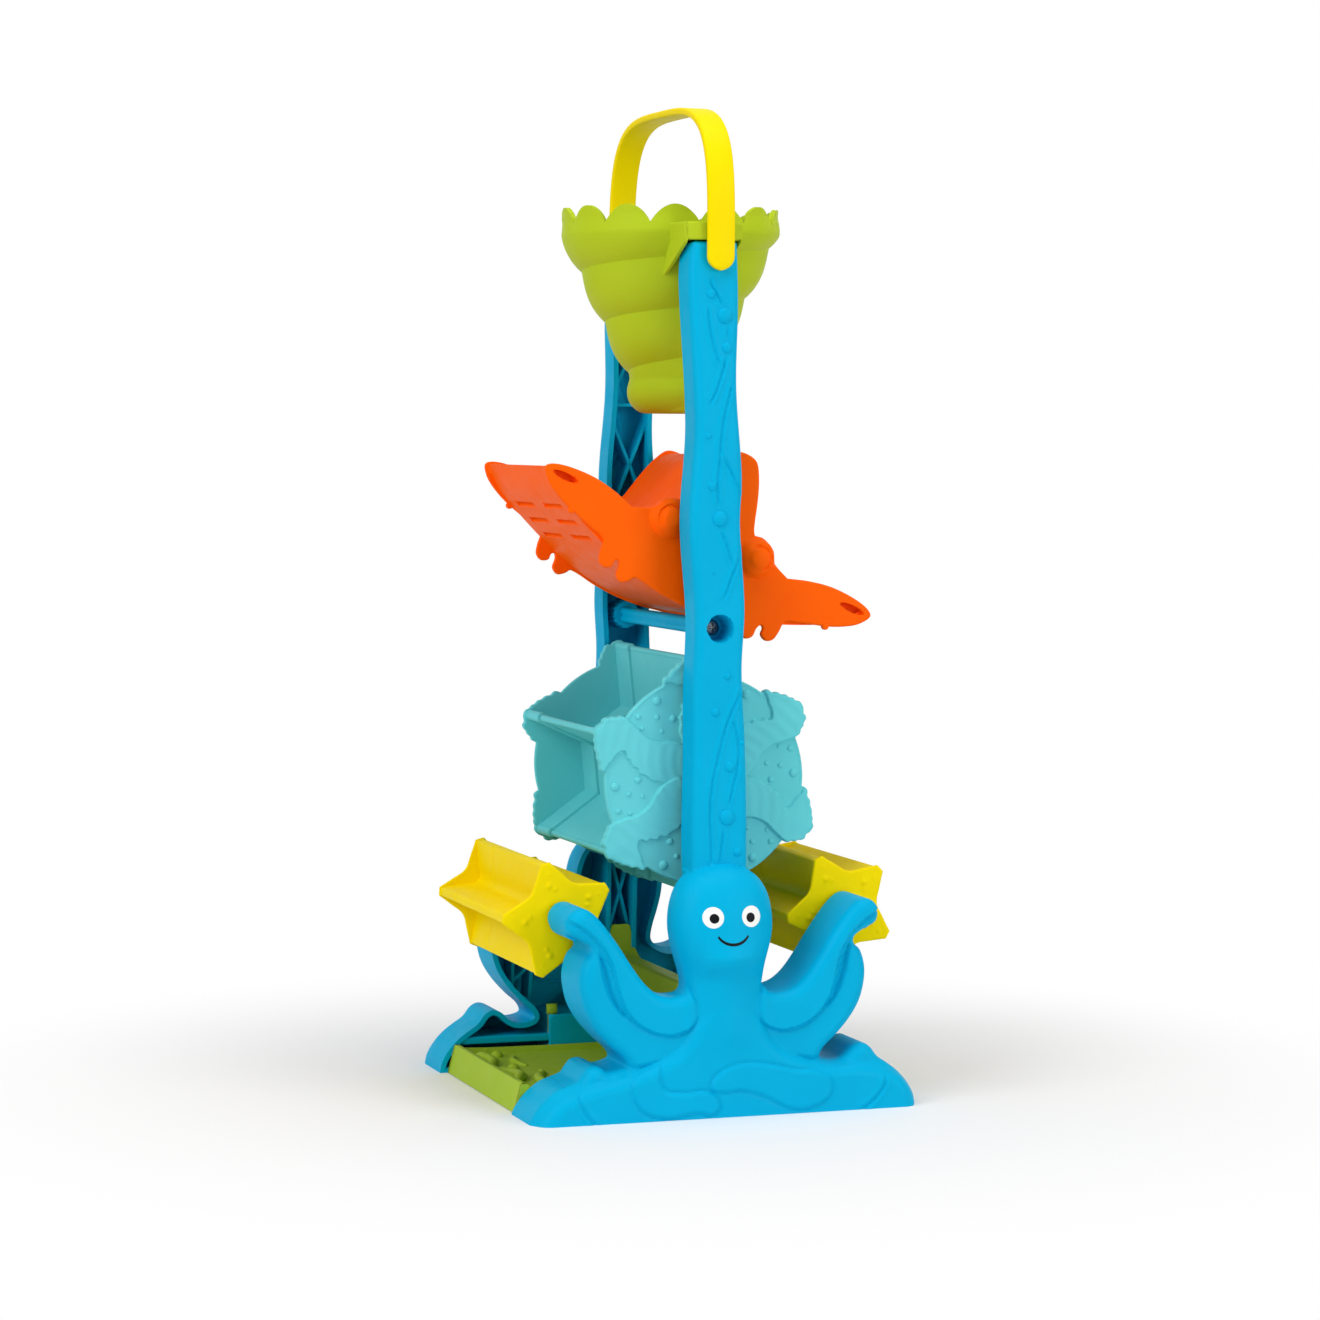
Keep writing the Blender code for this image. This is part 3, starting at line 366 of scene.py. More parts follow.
def relief_plate(name, loop, rows, spacing, front, back, lines=()):
    """A closed plate over an outline in (x, z): front and back give each point's y from its place
    and its distance to the edge. Rows are distances from the edge that get a line of points, and
    lines are further curves, such as a slit's border, that the surface keeps crisp."""
    band = [loop, *(inset_row(loop, amount) for amount in rows)]
    low, high = loop.min(0), loop.max(0)
    xs = np.arange(low[0], high[0], spacing)
    zs = np.arange(low[1], high[1], spacing * 0.866)
    grid = np.array([(x + (k % 2) * spacing / 2, z) for k, z in enumerate(zs) for x in xs])
    depth = depth_inside(grid, loop)
    band.append(grid[depth > max(rows, default=0) + spacing * 0.5])
    flat = np.vstack([*band, *lines])
    rim = [(i, (i + 1) % len(loop)) for i in range(len(loop))]
    verts, _, faces, *_ = delaunay_2d_cdt([Vector(p) for p in flat], rim, [], 1, 1e-5)
    plane = np.array([tuple(v) for v in verts])
    gap = np.maximum(depth_inside(plane, loop), 0)
    gap[:len(loop)] = 0
    count = len(plane)
    top = np.column_stack([plane[:, 0], front(plane, gap), plane[:, 1]])
    bottom = np.column_stack([plane[:, 0], back(plane, gap), plane[:, 1]])
    skin = [tuple(f) for f in faces] + [tuple(count + i for i in reversed(f)) for f in faces]
    edge = slice(0, len(loop))
    support = np.minimum(0.5, 0.3 * (bottom - top)[edge, 1])[:, None] * (0, 1, 0)
    rings = (0, 2 * count, 2 * count + len(loop), count)
    for near, far in zip(rings, rings[1:]):
        skin += [(near + i, near + j, far + j, far + i) for i, j in rim]
    points = np.vstack([top, bottom, top[edge] + support, bottom[edge] - support])
    return tidy_normals(mesh_object(name, points, skin))


def resampled(loop, step):
    """The same loop with evenly spaced points."""
    closed = np.vstack([loop, loop[:1]])
    run = np.concatenate([[0], np.cumsum(np.linalg.norm(np.diff(closed, axis=0), axis=1))])
    at = np.linspace(0, run[-1], max(8, round(run[-1] / step)), endpoint=False)
    return np.column_stack([np.interp(at, run, closed[:, k]) for k in (0, 1)])


def face_at(z):
    """How far from the middle the leaning outer faces stand at a height."""
    return FACE_Y - LEAN * z


def post_inside(joint):
    """How far from the middle a pin may reach in a post's socket."""
    return face_at(AXLE[joint].z / MM) - 2 * WALL


def frame_loops():
    """Outlines of the post, the octopus and its base."""
    def post_side(profile, sign):
        corner = {0: ("V",), 1: ("V",)}
        return [(sign * half, POST_FOOT + part * (POST_TOP - POST_FOOT), *corner.get(part, ()))
                for part, half in profile]

    outlines = (post_side(POST_RIGHT, 1) + post_side(POST_LEFT, -1),
                mirrored(BODY_HALF, FOOT_LEFT), mirrored(BASE_HALF, BASE_LEFT))
    return [smooth_path(outline, LOOP_STEP, closed=True) for outline in outlines]


def frame_outline(post, body):
    """Silhouette of the post and the octopus together, cut flat at the floor."""
    def along(p):
        return np.argmin(np.abs(body - p).sum(1))

    keep = body[(depth_inside(body, post) < 0) & (body[:, 1] > 0.05)]
    right = sorted((p for p in keep if p[0] > 0), key=along)
    left = sorted((p for p in keep if p[0] <= 0), key=along)
    bare = post[depth_inside(post, body) < 0]
    up = sorted((p for p in bare if p[0] < 0), key=lambda p: p[1])
    down = sorted((p for p in bare if p[0] > 0), key=lambda p: -p[1])
    foot = [(right[-1][0] + 0.02, 0.0), (left[0][0] - 0.02, 0.0)]
    return resampled(np.array([*right, *foot, *left, *up, *down]), SKIN_STEP)


def dome_height(points, centre, half, bulge, sink):
    """Height of an oval dome, sunk a little into what it stands on."""
    spread = ((points[:, 0] - centre[0]) / half[0])**2 + ((points[:, 1] - centre[1]) / half[1])**2
    return np.where(spread < 1, bulge * np.sqrt(np.maximum(1 - spread, 0)) - sink, NOWHERE)


def level_height(points, loop, height, rounding):
    """Height of a level form with a rounded edge."""
    depth = depth_inside(points, loop)
    return np.where(depth > -0.4, height - edge_round(np.maximum(depth, 0), rounding), NOWHERE)


def step_up(depth, start, stop, height, groove, width):
    """A step over an edge, with a groove along its foot."""
    return height * ramp(depth, start, stop) - groove * np.exp(-((depth + 0.7) / width)**2)


def engraved(points, path, lip, cut, width):
    """A groove with a soft lip at both sides, fading at its ends."""
    route = smooth_path(path, 1.5)
    gap, along = path_distance(points, route)
    ends = ramp(along, 0, 2.5) * ramp(len(route) - 1 - along, 0, 2.5)
    lips = np.exp(-((gap - 2.1 * width) / (1.4 * width))**2)
    return ends * (lip * lips - cut * np.exp(-(gap / width)**2))


class FrameForm:
    """Outer surface of an end frame, as a height in front of the post's leaning face."""

    def __init__(self):
        self.post, self.body, self.base = frame_loops()
        self.loop = frame_outline(self.post, self.body)
        self.curls, self.arms = (
            [smooth_path(path, LOOP_STEP, closed=True) for path in paths]
            for paths in ((CURL_RIGHT, CURL_LEFT), (UPPER_ARM, WHOLE_ARM, ARM_HOLLOW)))

    def arm_lift(self, points, side):
        """Steps of one raised arm over the plate, fading into the trunk."""
        upper, whole, hollow = (depth_inside(points * (side, 1), loop) for loop in self.arms)
        fade = ramp(points[:, 0] * side, 11, 18)
        rise = step_up(whole, -0.4, 1.4, 0.9, 0.45, 0.7)
        rise += step_up(upper, -0.25, 0.75, 1.7, 0.55, 0.55)
        return fade * rise - ARM_HOLLOW_DEPTH * ramp(hollow, -0.2, 2.0)

    def proud(self, points):
        """Post, plate, arms, trunk, head and base together."""
        x, z = points.T
        stem = level_height(points, self.post, 0.0, 3.2)
        on_post = ramp(z, 101, 104) * (1 - ramp(z, POST_TOP - 6, POST_TOP - 4))
        for path in KELP_STEMS:
            stem += on_post * engraved(points, path, *KELP_GROOVE)
        head = ramp(z, 56, 68) * (1 - ramp(np.abs(x), 23, 30))
        plate = level_height(points, self.body, PLATE_PROUD + 6.0 * head, 4.6 + 7.9 * head)
        for side in (1, -1):
            plate += self.arm_lift(points, side)
        trunk = np.maximum(1 - (x / 21)**2, 0)**2 * ramp(z, 14, 36) * (1 - ramp(z, 62, 86))
        plate += TRUNK_PROUD * trunk
        form = np.maximum(stem, plate)
        form = soft_max(form, dome_height(points, HEAD_CENTRE, HEAD_HALF, HEAD_BULGE, 1.0), 3.0)
        foot = level_height(points, self.base, BASE_PROUD, 5.8)
        for loop in self.curls:
            foot += step_up(depth_inside(points, loop), -0.4, 1.2, 0.9, 0.45, 0.6)
        for path in (CURL_FAR, CURL_NEAR):
            foot += engraved(points, path, *CURL_GROOVE)
        return soft_max(form, foot, 3.0)

    def front(self, points, gap):
        """Outer side, with the round recess of the tie screw."""
        face = -self.proud(points)
        ring = np.hypot(points[:, 0], points[:, 1] - TIE_Z)
        well = RECESS_DEPTH - RECESS_DEPTH * ramp(ring, RECESS_R - 0.9, RECESS_R + 0.06)
        return np.where(ring < RECESS_R + 0.07, np.maximum(face, well), face)

    def inner_plane(self, points):
        """How deep the frame is: most at the foot, less at the post, least at the head's left."""
        x, z = points.T
        body = face_at(z) - BODY_INNER
        on_post = np.maximum(ramp(z, 60, 66) * (np.abs(x) < 34), z > 104)
        plane = body + (POST_DEPTH - body) * on_post
        on_head = ramp(-x, 12.5, 13.5) * (1 - ramp(-x, 23, 42)) * ramp(z, 46, 52) * (z < 104)
        return plane + (HEAD_DEPTH - plane) * on_head

    def back(self, points, gap):
        """Open inner side: a rim in the inner plane, and a hollow that follows the outer skin."""
        plane = self.inner_plane(points)
        hollow = np.minimum(WALL - self.proud(points), plane - 1.0)
        on_floor = points[:, 1] < WALL
        ring = np.hypot(points[:, 0], points[:, 1] - TIE_Z)
        return np.where((gap < WALL) | on_floor | (ring < RECESS_R + 0.4), plane, hollow)


def lean_and_place(made):
    """From the post's own depth to the leaning front face."""
    for vertex in made.data.vertices:
        vertex.co.y += LEAN * vertex.co.z - FACE_Y * MM
    return made


def extruded(name, loop, y_low, y_high, rounding, spacing):
    """A plate of even thickness with rounded edges."""
    rows = [rounding * share for share in (0.1, 0.35, 0.7, 1.0) if rounding]
    return relief_plate(name, loop, rows, spacing,
                        lambda p, gap: y_low + edge_round(gap, rounding),
                        lambda p, gap: y_high - edge_round(gap, rounding))


def circle(x, z, radius, count=48):
    """A round loop about (x, z)."""
    turn = np.linspace(0, 2 * math.pi, count, endpoint=False)
    return np.column_stack([x + radius * np.cos(turn), z + radius * np.sin(turn)])


def polar(turns):
    """Places (x, z) from degrees and radii."""
    return [(r * math.cos(math.radians(a)), r * math.sin(math.radians(a))) for a, r in turns]


def straight_loop(corners, step):
    """A polygon's outline, its corners kept, with points along the sides."""
    return smooth_path([(*c, "V") for c in corners], step, closed=True)


def bar(name, start, end, width, y_low, y_high):
    """A thin rib between two (x, z) places."""
    a, b = np.array(start, float), np.array(end, float)
    side = np.array([-(b - a)[1], (b - a)[0]]) / np.linalg.norm(b - a) * width / 2
    loop = straight_loop([a + side, b + side, b - side, a - side], 4.0)
    return extruded(name, loop, y_low, y_high, 0.25, 4.0)


def rod(name, x, z, y_low, y_high, radius, rounding=0.4, count=40):
    """A round bar along Y."""
    return extruded(name, circle(x, z, radius, count), y_low, y_high, rounding, radius)


def pin(near, far, end, radius, z=0.0):
    """A rod between two distances from the middle, at the front (end -1) or at the rear (end 1)."""
    return rod("pin", 0, z, *sorted((end * near, end * far)), radius)


def on_axle(made, joint):
    """Move a piece that is drawn about the origin to its joint."""
    made.data.transform(Matrix.Translation(AXLE[joint]))
    return made


def rounded_box(name, low, high, radius):
    """A box between two corners, its front and rear edges rounded."""
    (x0, y0, z0), (x1, y1, z1) = low, high
    loop = straight_loop([(x0, z0), (x1, z0), (x1, z1), (x0, z1)], 3.0)
    return extruded(name, loop, y0, y1, radius, 6.0)


def turned(made, angle_y=0.0, move=(0, 0, 0)):
    """Turn a piece about Y, in degrees, and move it in millimetres."""
    place = Matrix.Translation(Vector(move) * MM)
    made.data.transform(place @ Matrix.Rotation(math.radians(angle_y), 4, "Y"))
    return made


def twin(made, name, matrix):
    """A moved copy; a mirrored one has its faces turned outwards again."""
    data = made.data.copy()
    data.transform(matrix)
    if matrix.determinant() < 0:
        data.flip_normals()
    return linked(name, data)


# From the front of the tower to its rear
HALF_TURN = Matrix.Rotation(math.pi, 4, "Z")
TO_REAR = Matrix.Scale(-1, 4, (0, 1, 0))


def wall_places(loop, z):
    """Where a loop's two side walls stand at a height."""
    near = loop[np.argsort(np.abs(loop[:, 1] - z))[:6], 0]
    return near.min() + WALL / 2, near.max() - WALL / 2


def post_rib(form, z_left, z_right):
    """A rib from the post's left wall to its right wall."""
    start = (wall_places(form.post, z_left)[0], z_left)
    end = (wall_places(form.post, z_right)[1], z_right)
    return bar("rib", start, end, RIB, 1.2, RIB_END)


def frame_moulding(name, form):
    """The leaning hollow shell of one end frame, with its ribs, sill, shelf and sockets."""
    rows = (0.2, 0.6, 1.3, WALL - 0.05, WALL + 0.05, 3.2)
    shell = relief_plate("shell", form.loop, rows, SKIN_STEP, form.front, form.back)
    pieces = [shell]
    for z_low, z_high in POST_CROSSES:
        pieces += [post_rib(form, z_low, z_high), post_rib(form, z_high, z_low)]
    pieces += [post_rib(form, z, z) for z in POST_BARS]
    for side in (1, -1):
        for ends in ARM_RIBS:
            inner, outer = ((side * x, z) for x, z in ends)
            pieces.append(bar("rib", inner, outer, RIB, 0.0, RIB_END))
        x = side * HEAD_WALL_X
        for z_low, z_high, y_low in HEAD_WALLS:
            pieces.append(bar("head_wall", (x, z_low), (x, z_high), WALL, y_low, POST_DEPTH))
        pieces.append(bar("rib", (-x, HEAD_CROSS[0]), (x, HEAD_CROSS[1]), RIB, -4.0, RIB_END))
    for joint, radius in POST_SOCKETS.items():
        pieces.append(rod("boss", 0, AXLE[joint].z / MM, 1.2, POST_DEPTH, radius + WALL))
    for joint, radius in ARM_SOCKETS.items():
        at = AXLE[joint] / MM
        pieces.append(rod("boss", at.x, at.z, 1.0, face_at(at.z) - BODY_INNER, radius + WALL))
    for piece in pieces:
        lean_and_place(piece)
    for left, right, setback, depth, floor, top in (SILL, SHELF):
        low = (left, -BODY_INNER - depth, floor)
        pieces.append(rounded_box("shelf", low, (right, -BODY_INNER - setback, top), 0.5))
    return joined(name, pieces)


class Field:
    """A number that varies over a surface, put together from math nodes."""

    def __init__(self, tree, socket):
        self.tree = tree
        self.socket = socket

    def op(self, kind, *others):
        node = self.tree.nodes.new("ShaderNodeMath")
        node.operation = kind
        for socket, value in zip(node.inputs, (self, *others)):
            if isinstance(value, Field):
                self.tree.links.new(value.socket, socket)
            else:
                socket.default_value = value
        return Field(self.tree, node.outputs[0])

    def __add__(self, other):
        return self.op("ADD", other)

    def __sub__(self, other):
        return self.op("SUBTRACT", other)

    def __mul__(self, other):
        return self.op("MULTIPLY", other)

    def __truediv__(self, other):
        return self.op("DIVIDE", other)

    def __pow__(self, other):
        return self.op("POWER", other)

    def between(self, low, high):
        return self.op("MAXIMUM", low).op("MINIMUM", high)

    def fraction(self):
        return self.op("FRACT")

    def sine(self):
        return self.op("SINE")


KINDS = {float: "NodeSocketFloat", int: "NodeSocketInt"}


class Growth:
    """A Geometry Nodes tree with named inputs, run once to give a plain mesh."""

    def __init__(self, name, **inputs):
        self.tree = bpy.data.node_groups.new(name, "GeometryNodeTree")
        interface = self.tree.interface
        self.values = inputs
        self.ids = {}
        interface.new_socket("Geometry", in_out="INPUT", socket_type="NodeSocketGeometry")
        for label, value in inputs.items():
            kind = KINDS.get(type(value), "NodeSocketMaterial")
            socket = interface.new_socket(label, in_out="INPUT", socket_type=kind)
            self.ids[label] = socket.identifier
        interface.new_socket("Geometry", in_out="OUTPUT", socket_type="NodeSocketGeometry")
        self.entry = self.tree.nodes.new("NodeGroupInput")
        self.exit = self.tree.nodes.new("NodeGroupOutput")

    def node(self, kind, links=None, **settings):
        made = self.tree.nodes.new(kind)
        for key, value in settings.items():
            setattr(made, key, value)
        for key, value in (links or {}).items():
            if isinstance(value, Field):
                value = value.socket
            if isinstance(value, bpy.types.NodeSocket):
                self.tree.links.new(value, made.inputs[key])
            else:
                made.inputs[key].default_value = value
        return made

    def input(self, label):
        return Field(self.tree, self.entry.outputs[label])

    def close(self, geometry):
        """Realize, set the finish, and lead out."""
        solid = self.node("GeometryNodeRealizeInstances", {"Geometry": geometry})
        finish = self.node("GeometryNodeSetMaterial",
                           {"Geometry": solid.outputs[0], "Material": self.entry.outputs["Finish"]})
        self.tree.links.new(finish.outputs[0], self.exit.inputs[0])
        return self

    def run(self, made, **values):
        """Give an object's mesh the tree's result for these values."""
        modifier = made.modifiers.new("growth", "NODES")
        modifier.node_group = self.tree
        for label, value in {**self.values, **values}.items():
            modifier[self.ids[label]] = value
        return applied(made, modifier)


def around_axle_growth(finish):
    """Copies of one vane set evenly about the Y axis."""
    growth = Growth("around_axle", Count=6, Phase=0.0, Finish=finish)
    places = growth.node("GeometryNodePoints", {"Count": growth.input("Count")})
    index = Field(growth.tree, growth.node("GeometryNodeInputIndex").outputs[0])
    turn = growth.input("Phase") + index / growth.input("Count") * (2 * math.pi)
    angle = growth.node("ShaderNodeCombineXYZ", {"Y": turn * -1.0})
    copies = growth.node("GeometryNodeInstanceOnPoints",
                         {"Points": places.outputs[0], "Instance": growth.entry.outputs["Geometry"],
                          "Rotation": angle.outputs[0]})
    return growth.close(copies.outputs[0])


def bubble_growth(finish):
    """A flattened bead on every point, as large as the point's own radius."""
    growth = Growth("bubbles", Swell=0.5, Finish=finish)
    bead = growth.node("GeometryNodeMeshUVSphere", {"Segments": 24, "Rings": 14, "Radius": 1.0})
    size = growth.node("GeometryNodeInputNamedAttribute", {"Name": "bubble_radius"},
                       data_type="FLOAT")
    radius = Field(growth.tree, size.outputs[0])
    thick = radius * growth.input("Swell")
    scale = growth.node("ShaderNodeCombineXYZ", {"X": radius, "Y": thick, "Z": radius})
    beads = growth.node("GeometryNodeInstanceOnPoints",
                        {"Points": growth.entry.outputs["Geometry"],
                         "Instance": bead.outputs["Mesh"], "Scale": scale.outputs[0]})
    smooth = growth.node("GeometryNodeSetShadeSmooth", {"Geometry": beads.outputs[0]})
    return growth.close(smooth.outputs[0])


def slot_growth(finish):
    """Rows of slot cutters across both ends of the seesaw's floor."""
    growth = Growth("sieve_slots", Width=0.0026, Length=0.0256, Depth=0.02, Finish=finish)
    sides = {"X": "Width", "Y": "Length", "Z": "Depth"}
    size = growth.node("ShaderNodeCombineXYZ",
                       {axis: growth.input(label) for axis, label in sides.items()})
    cutter = growth.node("GeometryNodeMeshCube", {"Size": size.outputs[0]})
    copies = growth.node("GeometryNodeInstanceOnPoints",
                         {"Points": growth.entry.outputs["Geometry"],
                          "Instance": cutter.outputs["Mesh"]})
    return growth.close(copies.outputs[0])


# Funnel: sizes in millimetres, places on the turn as shares of it, and the helix with its rows
FUNNEL = {
    "Rim_radius": 46.8, "Rim_top": 380.0, "Scallops": 14.0, "Scallop_depth": 8.0,
    "Scallop_start": 0.355, "Petal": 0.8, "Foot": 292.5, "Foot_radius": 8.8,
    "Outlet_radius": 7.6, "Neck_radius": 15.9, "Neck_height": 307.5, "Toe": 12.5,
    "Pitch": 21.5, "Swell": 2.7, "Start": -0.4313,
}
FUNNEL_COLUMNS = 281
FUNNEL_WALL = 2.1
HELIX_TURNS = (-1.75, 5.25)
HELIX_ROWS = 27


def funnel_growth(finish):
    """Conch-like hopper: a cone swollen between the turns of one helix, under a scalloped rim. The
    sheet's rows follow the helix, so that its crease stays crisp, and are held between the foot and
    the rim."""
    growth = Growth("spiral_funnel", **FUNNEL, Finish=finish)
    get = growth.input
    first, turns = HELIX_TURNS
    rows = round(turns * HELIX_ROWS)
    sheet = growth.node("GeometryNodeMeshGrid",
                        {"Size X": 1.0, "Size Y": 1.0, "Vertices X": FUNNEL_COLUMNS,
                         "Vertices Y": rows + 1})
    position = growth.node("GeometryNodeInputPosition")
    place = growth.node("ShaderNodeSeparateXYZ", {0: position.outputs[0]})
    turn = Field(growth.tree, place.outputs["X"])
    row = (Field(growth.tree, place.outputs["Y"]) + 0.5) * rows
    lobe = ((turn * get("Scallops") - get("Scallop_start") + 0.5) * math.pi).sine().op("ABSOLUTE")
    rim = get("Rim_top") - get("Scallop_depth") * (lobe ** 0.7 * -1.0 + 1.0)
    climb = row / HELIX_ROWS + first
    z = get("Neck_height") + get("Pitch") * (climb + turn - get("Start"))
    z = z.op("MAXIMUM", get("Foot")).op("MINIMUM", rim)
    top = get("Rim_top") - get("Scallop_depth")
    widening = (get("Rim_radius") - get("Neck_radius")) * (z - get("Neck_height"))
    cone = get("Neck_radius") + widening / (top - get("Neck_height"))
    phase = ((z - get("Neck_height")) / get("Pitch") - turn + get("Start") + 4.0).fraction()
    fade = ((get("Rim_top") - z) / get("Scallop_depth") - 0.4).between(0.0, 1.0)
    swell = get("Swell") * ((phase ** 0.75) * math.pi).sine() * fade
    rise = ((z - get("Foot")) / get("Toe")).between(0.0, 1.0)
    curve = (rise * (rise * -1.0 + 2.0)) ** 0.5
    least = get("Foot_radius") / get("Neck_radius")
    toe = least + (least * -1.0 + 1.0) * curve
    near_rim = (((z - get("Rim_top")) / get("Scallop_depth") + 1.6) / 1.6).between(0.0, 1.0)
    petal = get("Petal") * near_rim * near_rim * (lobe - 0.7)
    plain = cone.op("MAXIMUM", get("Neck_radius")).op("SMOOTH_MIN", get("Rim_radius"), 5.0)
    wall = (plain + swell + petal) * toe
    radius = get("Outlet_radius") + (wall - get("Outlet_radius")) * row.between(0.0, 1.0)
    angle = turn * (2 * math.pi) - math.pi / 2
    spot = growth.node("ShaderNodeCombineXYZ", {"X": radius * angle.op("COSINE") * MM,
                                                "Y": radius * angle.sine() * MM, "Z": z * MM})
    bent = growth.node("GeometryNodeSetPosition",
                       {"Geometry": sheet.outputs["Mesh"], "Position": spot.outputs[0]})
    closed = growth.node("GeometryNodeMergeByDistance",
                         {"Geometry": bent.outputs[0], "Distance": 2e-6})
    return growth.close(closed.outputs[0])


def funnel_fit(z):
    """Radius inside the funnel's wall at a height, where the ears join it."""
    top = FUNNEL["Rim_top"] - FUNNEL["Scallop_depth"]
    share = (z - FUNNEL["Neck_height"]) / (top - FUNNEL["Neck_height"])
    return FUNNEL["Neck_radius"] + (FUNNEL["Rim_radius"] - FUNNEL["Neck_radius"]) * share + 0.45


def solid_wall(made, thickness):
    """Give an open sheet a wall on its inner side."""
    tidy_normals(made)
    modifier = made.modifiers.new("wall", "SOLIDIFY")
    modifier.thickness = thickness * MM
    modifier.offset = -1
    return applied(made, modifier)


def moulded_skin_group():
    """Injection-moulded plastic: faint cloudiness, fine spark-eroded grain and uneven gloss."""
    tree = bpy.data.node_groups.new("moulded_skin", "ShaderNodeTree")
    interface = tree.interface
    colour, number, white = "NodeSocketColor", "NodeSocketFloat", (1, 1, 1, 1)
    for label, kind, value in (("Colour", colour, white), ("Deep", colour, white),
                               ("Cloud scale", number, 26.0), ("Grain scale", number, 420.0),
                               ("Gloss low", number, 0.22), ("Gloss high", number, 0.36)):
        interface.new_socket(label, in_out="INPUT", socket_type=kind).default_value = value
    for label, kind in (("Colour", colour), ("Roughness", number), ("Height", number)):
        interface.new_socket(label, in_out="OUTPUT", socket_type=kind)
    entry = tree.nodes.new("NodeGroupInput")
    leave = tree.nodes.new("NodeGroupOutput")
    where = tree.nodes.new("ShaderNodeTexCoord")

    def noise(scale, detail, roughness):
        made = tree.nodes.new("ShaderNodeTexNoise")
        tree.links.new(where.outputs["Object"], made.inputs["Vector"])
        if isinstance(scale, str):
            tree.links.new(entry.outputs[scale], made.inputs["Scale"])
        else:
            made.inputs["Scale"].default_value = scale
        made.inputs["Detail"].default_value = detail
        made.inputs["Roughness"].default_value = roughness
        return Field(tree, made.outputs["Fac"])

    cloud = noise("Cloud scale", 3.0, 0.55)
    scuff = noise(150.0, 2.0, 0.5)
    grain = noise("Grain scale", 1.0, 0.5)
    blend = tree.nodes.new("ShaderNodeMix")
    blend.data_type = "RGBA"
    tree.links.new(((cloud - 0.35) * 1.5).between(0.0, 1.0).socket, blend.inputs["Factor"])
    tree.links.new(entry.outputs["Colour"], blend.inputs["A"])
    tree.links.new(entry.outputs["Deep"], blend.inputs["B"])
    tree.links.new(blend.outputs["Result"], leave.inputs["Colour"])
    low, high = Field(tree, entry.outputs["Gloss low"]), Field(tree, entry.outputs["Gloss high"])
    gloss = low + (high - low) * ((scuff - 0.3) * 2.2).between(0.0, 1.0)
    tree.links.new(gloss.socket, leave.inputs["Roughness"])
    tree.links.new((grain * 0.3 + scuff * 0.7).socket, leave.inputs["Height"])
    return tree


MOULDED_SKIN = moulded_skin_group()


def linear(code):
    """Scene colour of a six-digit code."""
    parts = [int(code[i:i + 2], 16) / 255 for i in (0, 2, 4)]
    return (*[p / 12.92 if p <= 0.04045 else ((p + 0.055) / 1.055)**2.4 for p in parts], 1.0)


def surface(name, colour, deep, gloss=(0.42, 0.56), grain=0.06, metal=0.0):
    """A moulded finish between two close tones, with a range of roughness and a fine grain."""
    made = bpy.data.materials.new(name)
    made.use_nodes = True
    tree = made.node_tree
    shader = tree.nodes["Principled BSDF"]
    skin = tree.nodes.new("ShaderNodeGroup")
    skin.node_tree = MOULDED_SKIN
    bump = tree.nodes.new("ShaderNodeBump")
    for node, label, value in ((skin, "Colour", linear(colour)), (skin, "Deep", linear(deep)),
                               (skin, "Gloss low", gloss[0]), (skin, "Gloss high", gloss[1]),
                               (bump, "Strength", grain), (bump, "Distance", 0.0005),
                               (shader, "IOR", 1.49), (shader, "Specular IOR Level", 0.05),
                               (shader, "Metallic", metal)):
        node.inputs[label].default_value = value
    tree.links.new(skin.outputs["Colour"], shader.inputs["Base Color"])
    tree.links.new(skin.outputs["Roughness"], shader.inputs["Roughness"])
    tree.links.new(skin.outputs["Height"], bump.inputs["Height"])
    tree.links.new(bump.outputs["Normal"], shader.inputs["Normal"])
    return made


BLUE = surface("sea_blue_plastic", "00ACD8", "00A4D0")
LIME = surface("lime_plastic", "B2C626", "AABE1A")
LEAF = surface("leaf_green_plastic", "A4C038", "9AB82C")
YELLOW = surface("sun_yellow_plastic", "F4DA00", "EED200")
ORANGE = surface("crab_orange_plastic", "FF6200", "FA5800")
AQUA = surface("aqua_plastic", "66CCD2", "5AC4CA")
STEEL = surface("zinc_screw", "767C84", "60666E", gloss=(0.3, 0.45), grain=0.03, metal=1.0)
EYE_WHITE = surface("printed_white", "F4F4F0", "ECECE6", gloss=(0.3, 0.42))
EYE_DARK = surface("printed_dark", "16181C", "101216", gloss=(0.28, 0.4))

AROUND_AXLE = around_axle_growth(AQUA)
BUBBLES = {finish: bubble_growth(finish) for finish in (BLUE, AQUA, LEAF)}


def placed(made, body, node, finish):
    """Hand a finished piece over in place of its CAD node."""
    made.data.materials.clear()
    made.data.materials.append(finish)
    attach(made, body)
    if node:
        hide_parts(node)
    return made


def bubble_mesh(name, spots, finish, swell):
    """Beads at (x, y, z, radius) in millimetres."""
    points = mesh_object(name, [s[:3] for s in spots], [])
    radius = points.data.attributes.new("bubble_radius", "FLOAT", "POINT")
    radius.data.foreach_set("value", [s[3] * MM for s in spots])
    return BUBBLES[finish].run(points, Swell=swell)


def end_frames():
    """Both frames with bubbles and printed faces; the rear one is the front one turned round."""
    form = FrameForm()
    front = frame_moulding("front_moulding", form)
    spots = [(x, -face_at(z), z, radius) for x, z, radius in KELP_BUBBLES]
    front = joined("octopus_frame_front", [front, bubble_mesh("bubbles", spots, BLUE, 0.42)])
    rear = twin(front, "octopus_frame_rear", HALF_TURN)
    for label, finish in face_print(form):
        other = twin(label, label.name + "_rear", HALF_TURN)
        placed(label, "stand", None, finish)
        placed(other, "stand", None, finish)
    placed(front, "stand", "front_frame", BLUE)
    placed(rear, "stand", "rear_frame", BLUE)


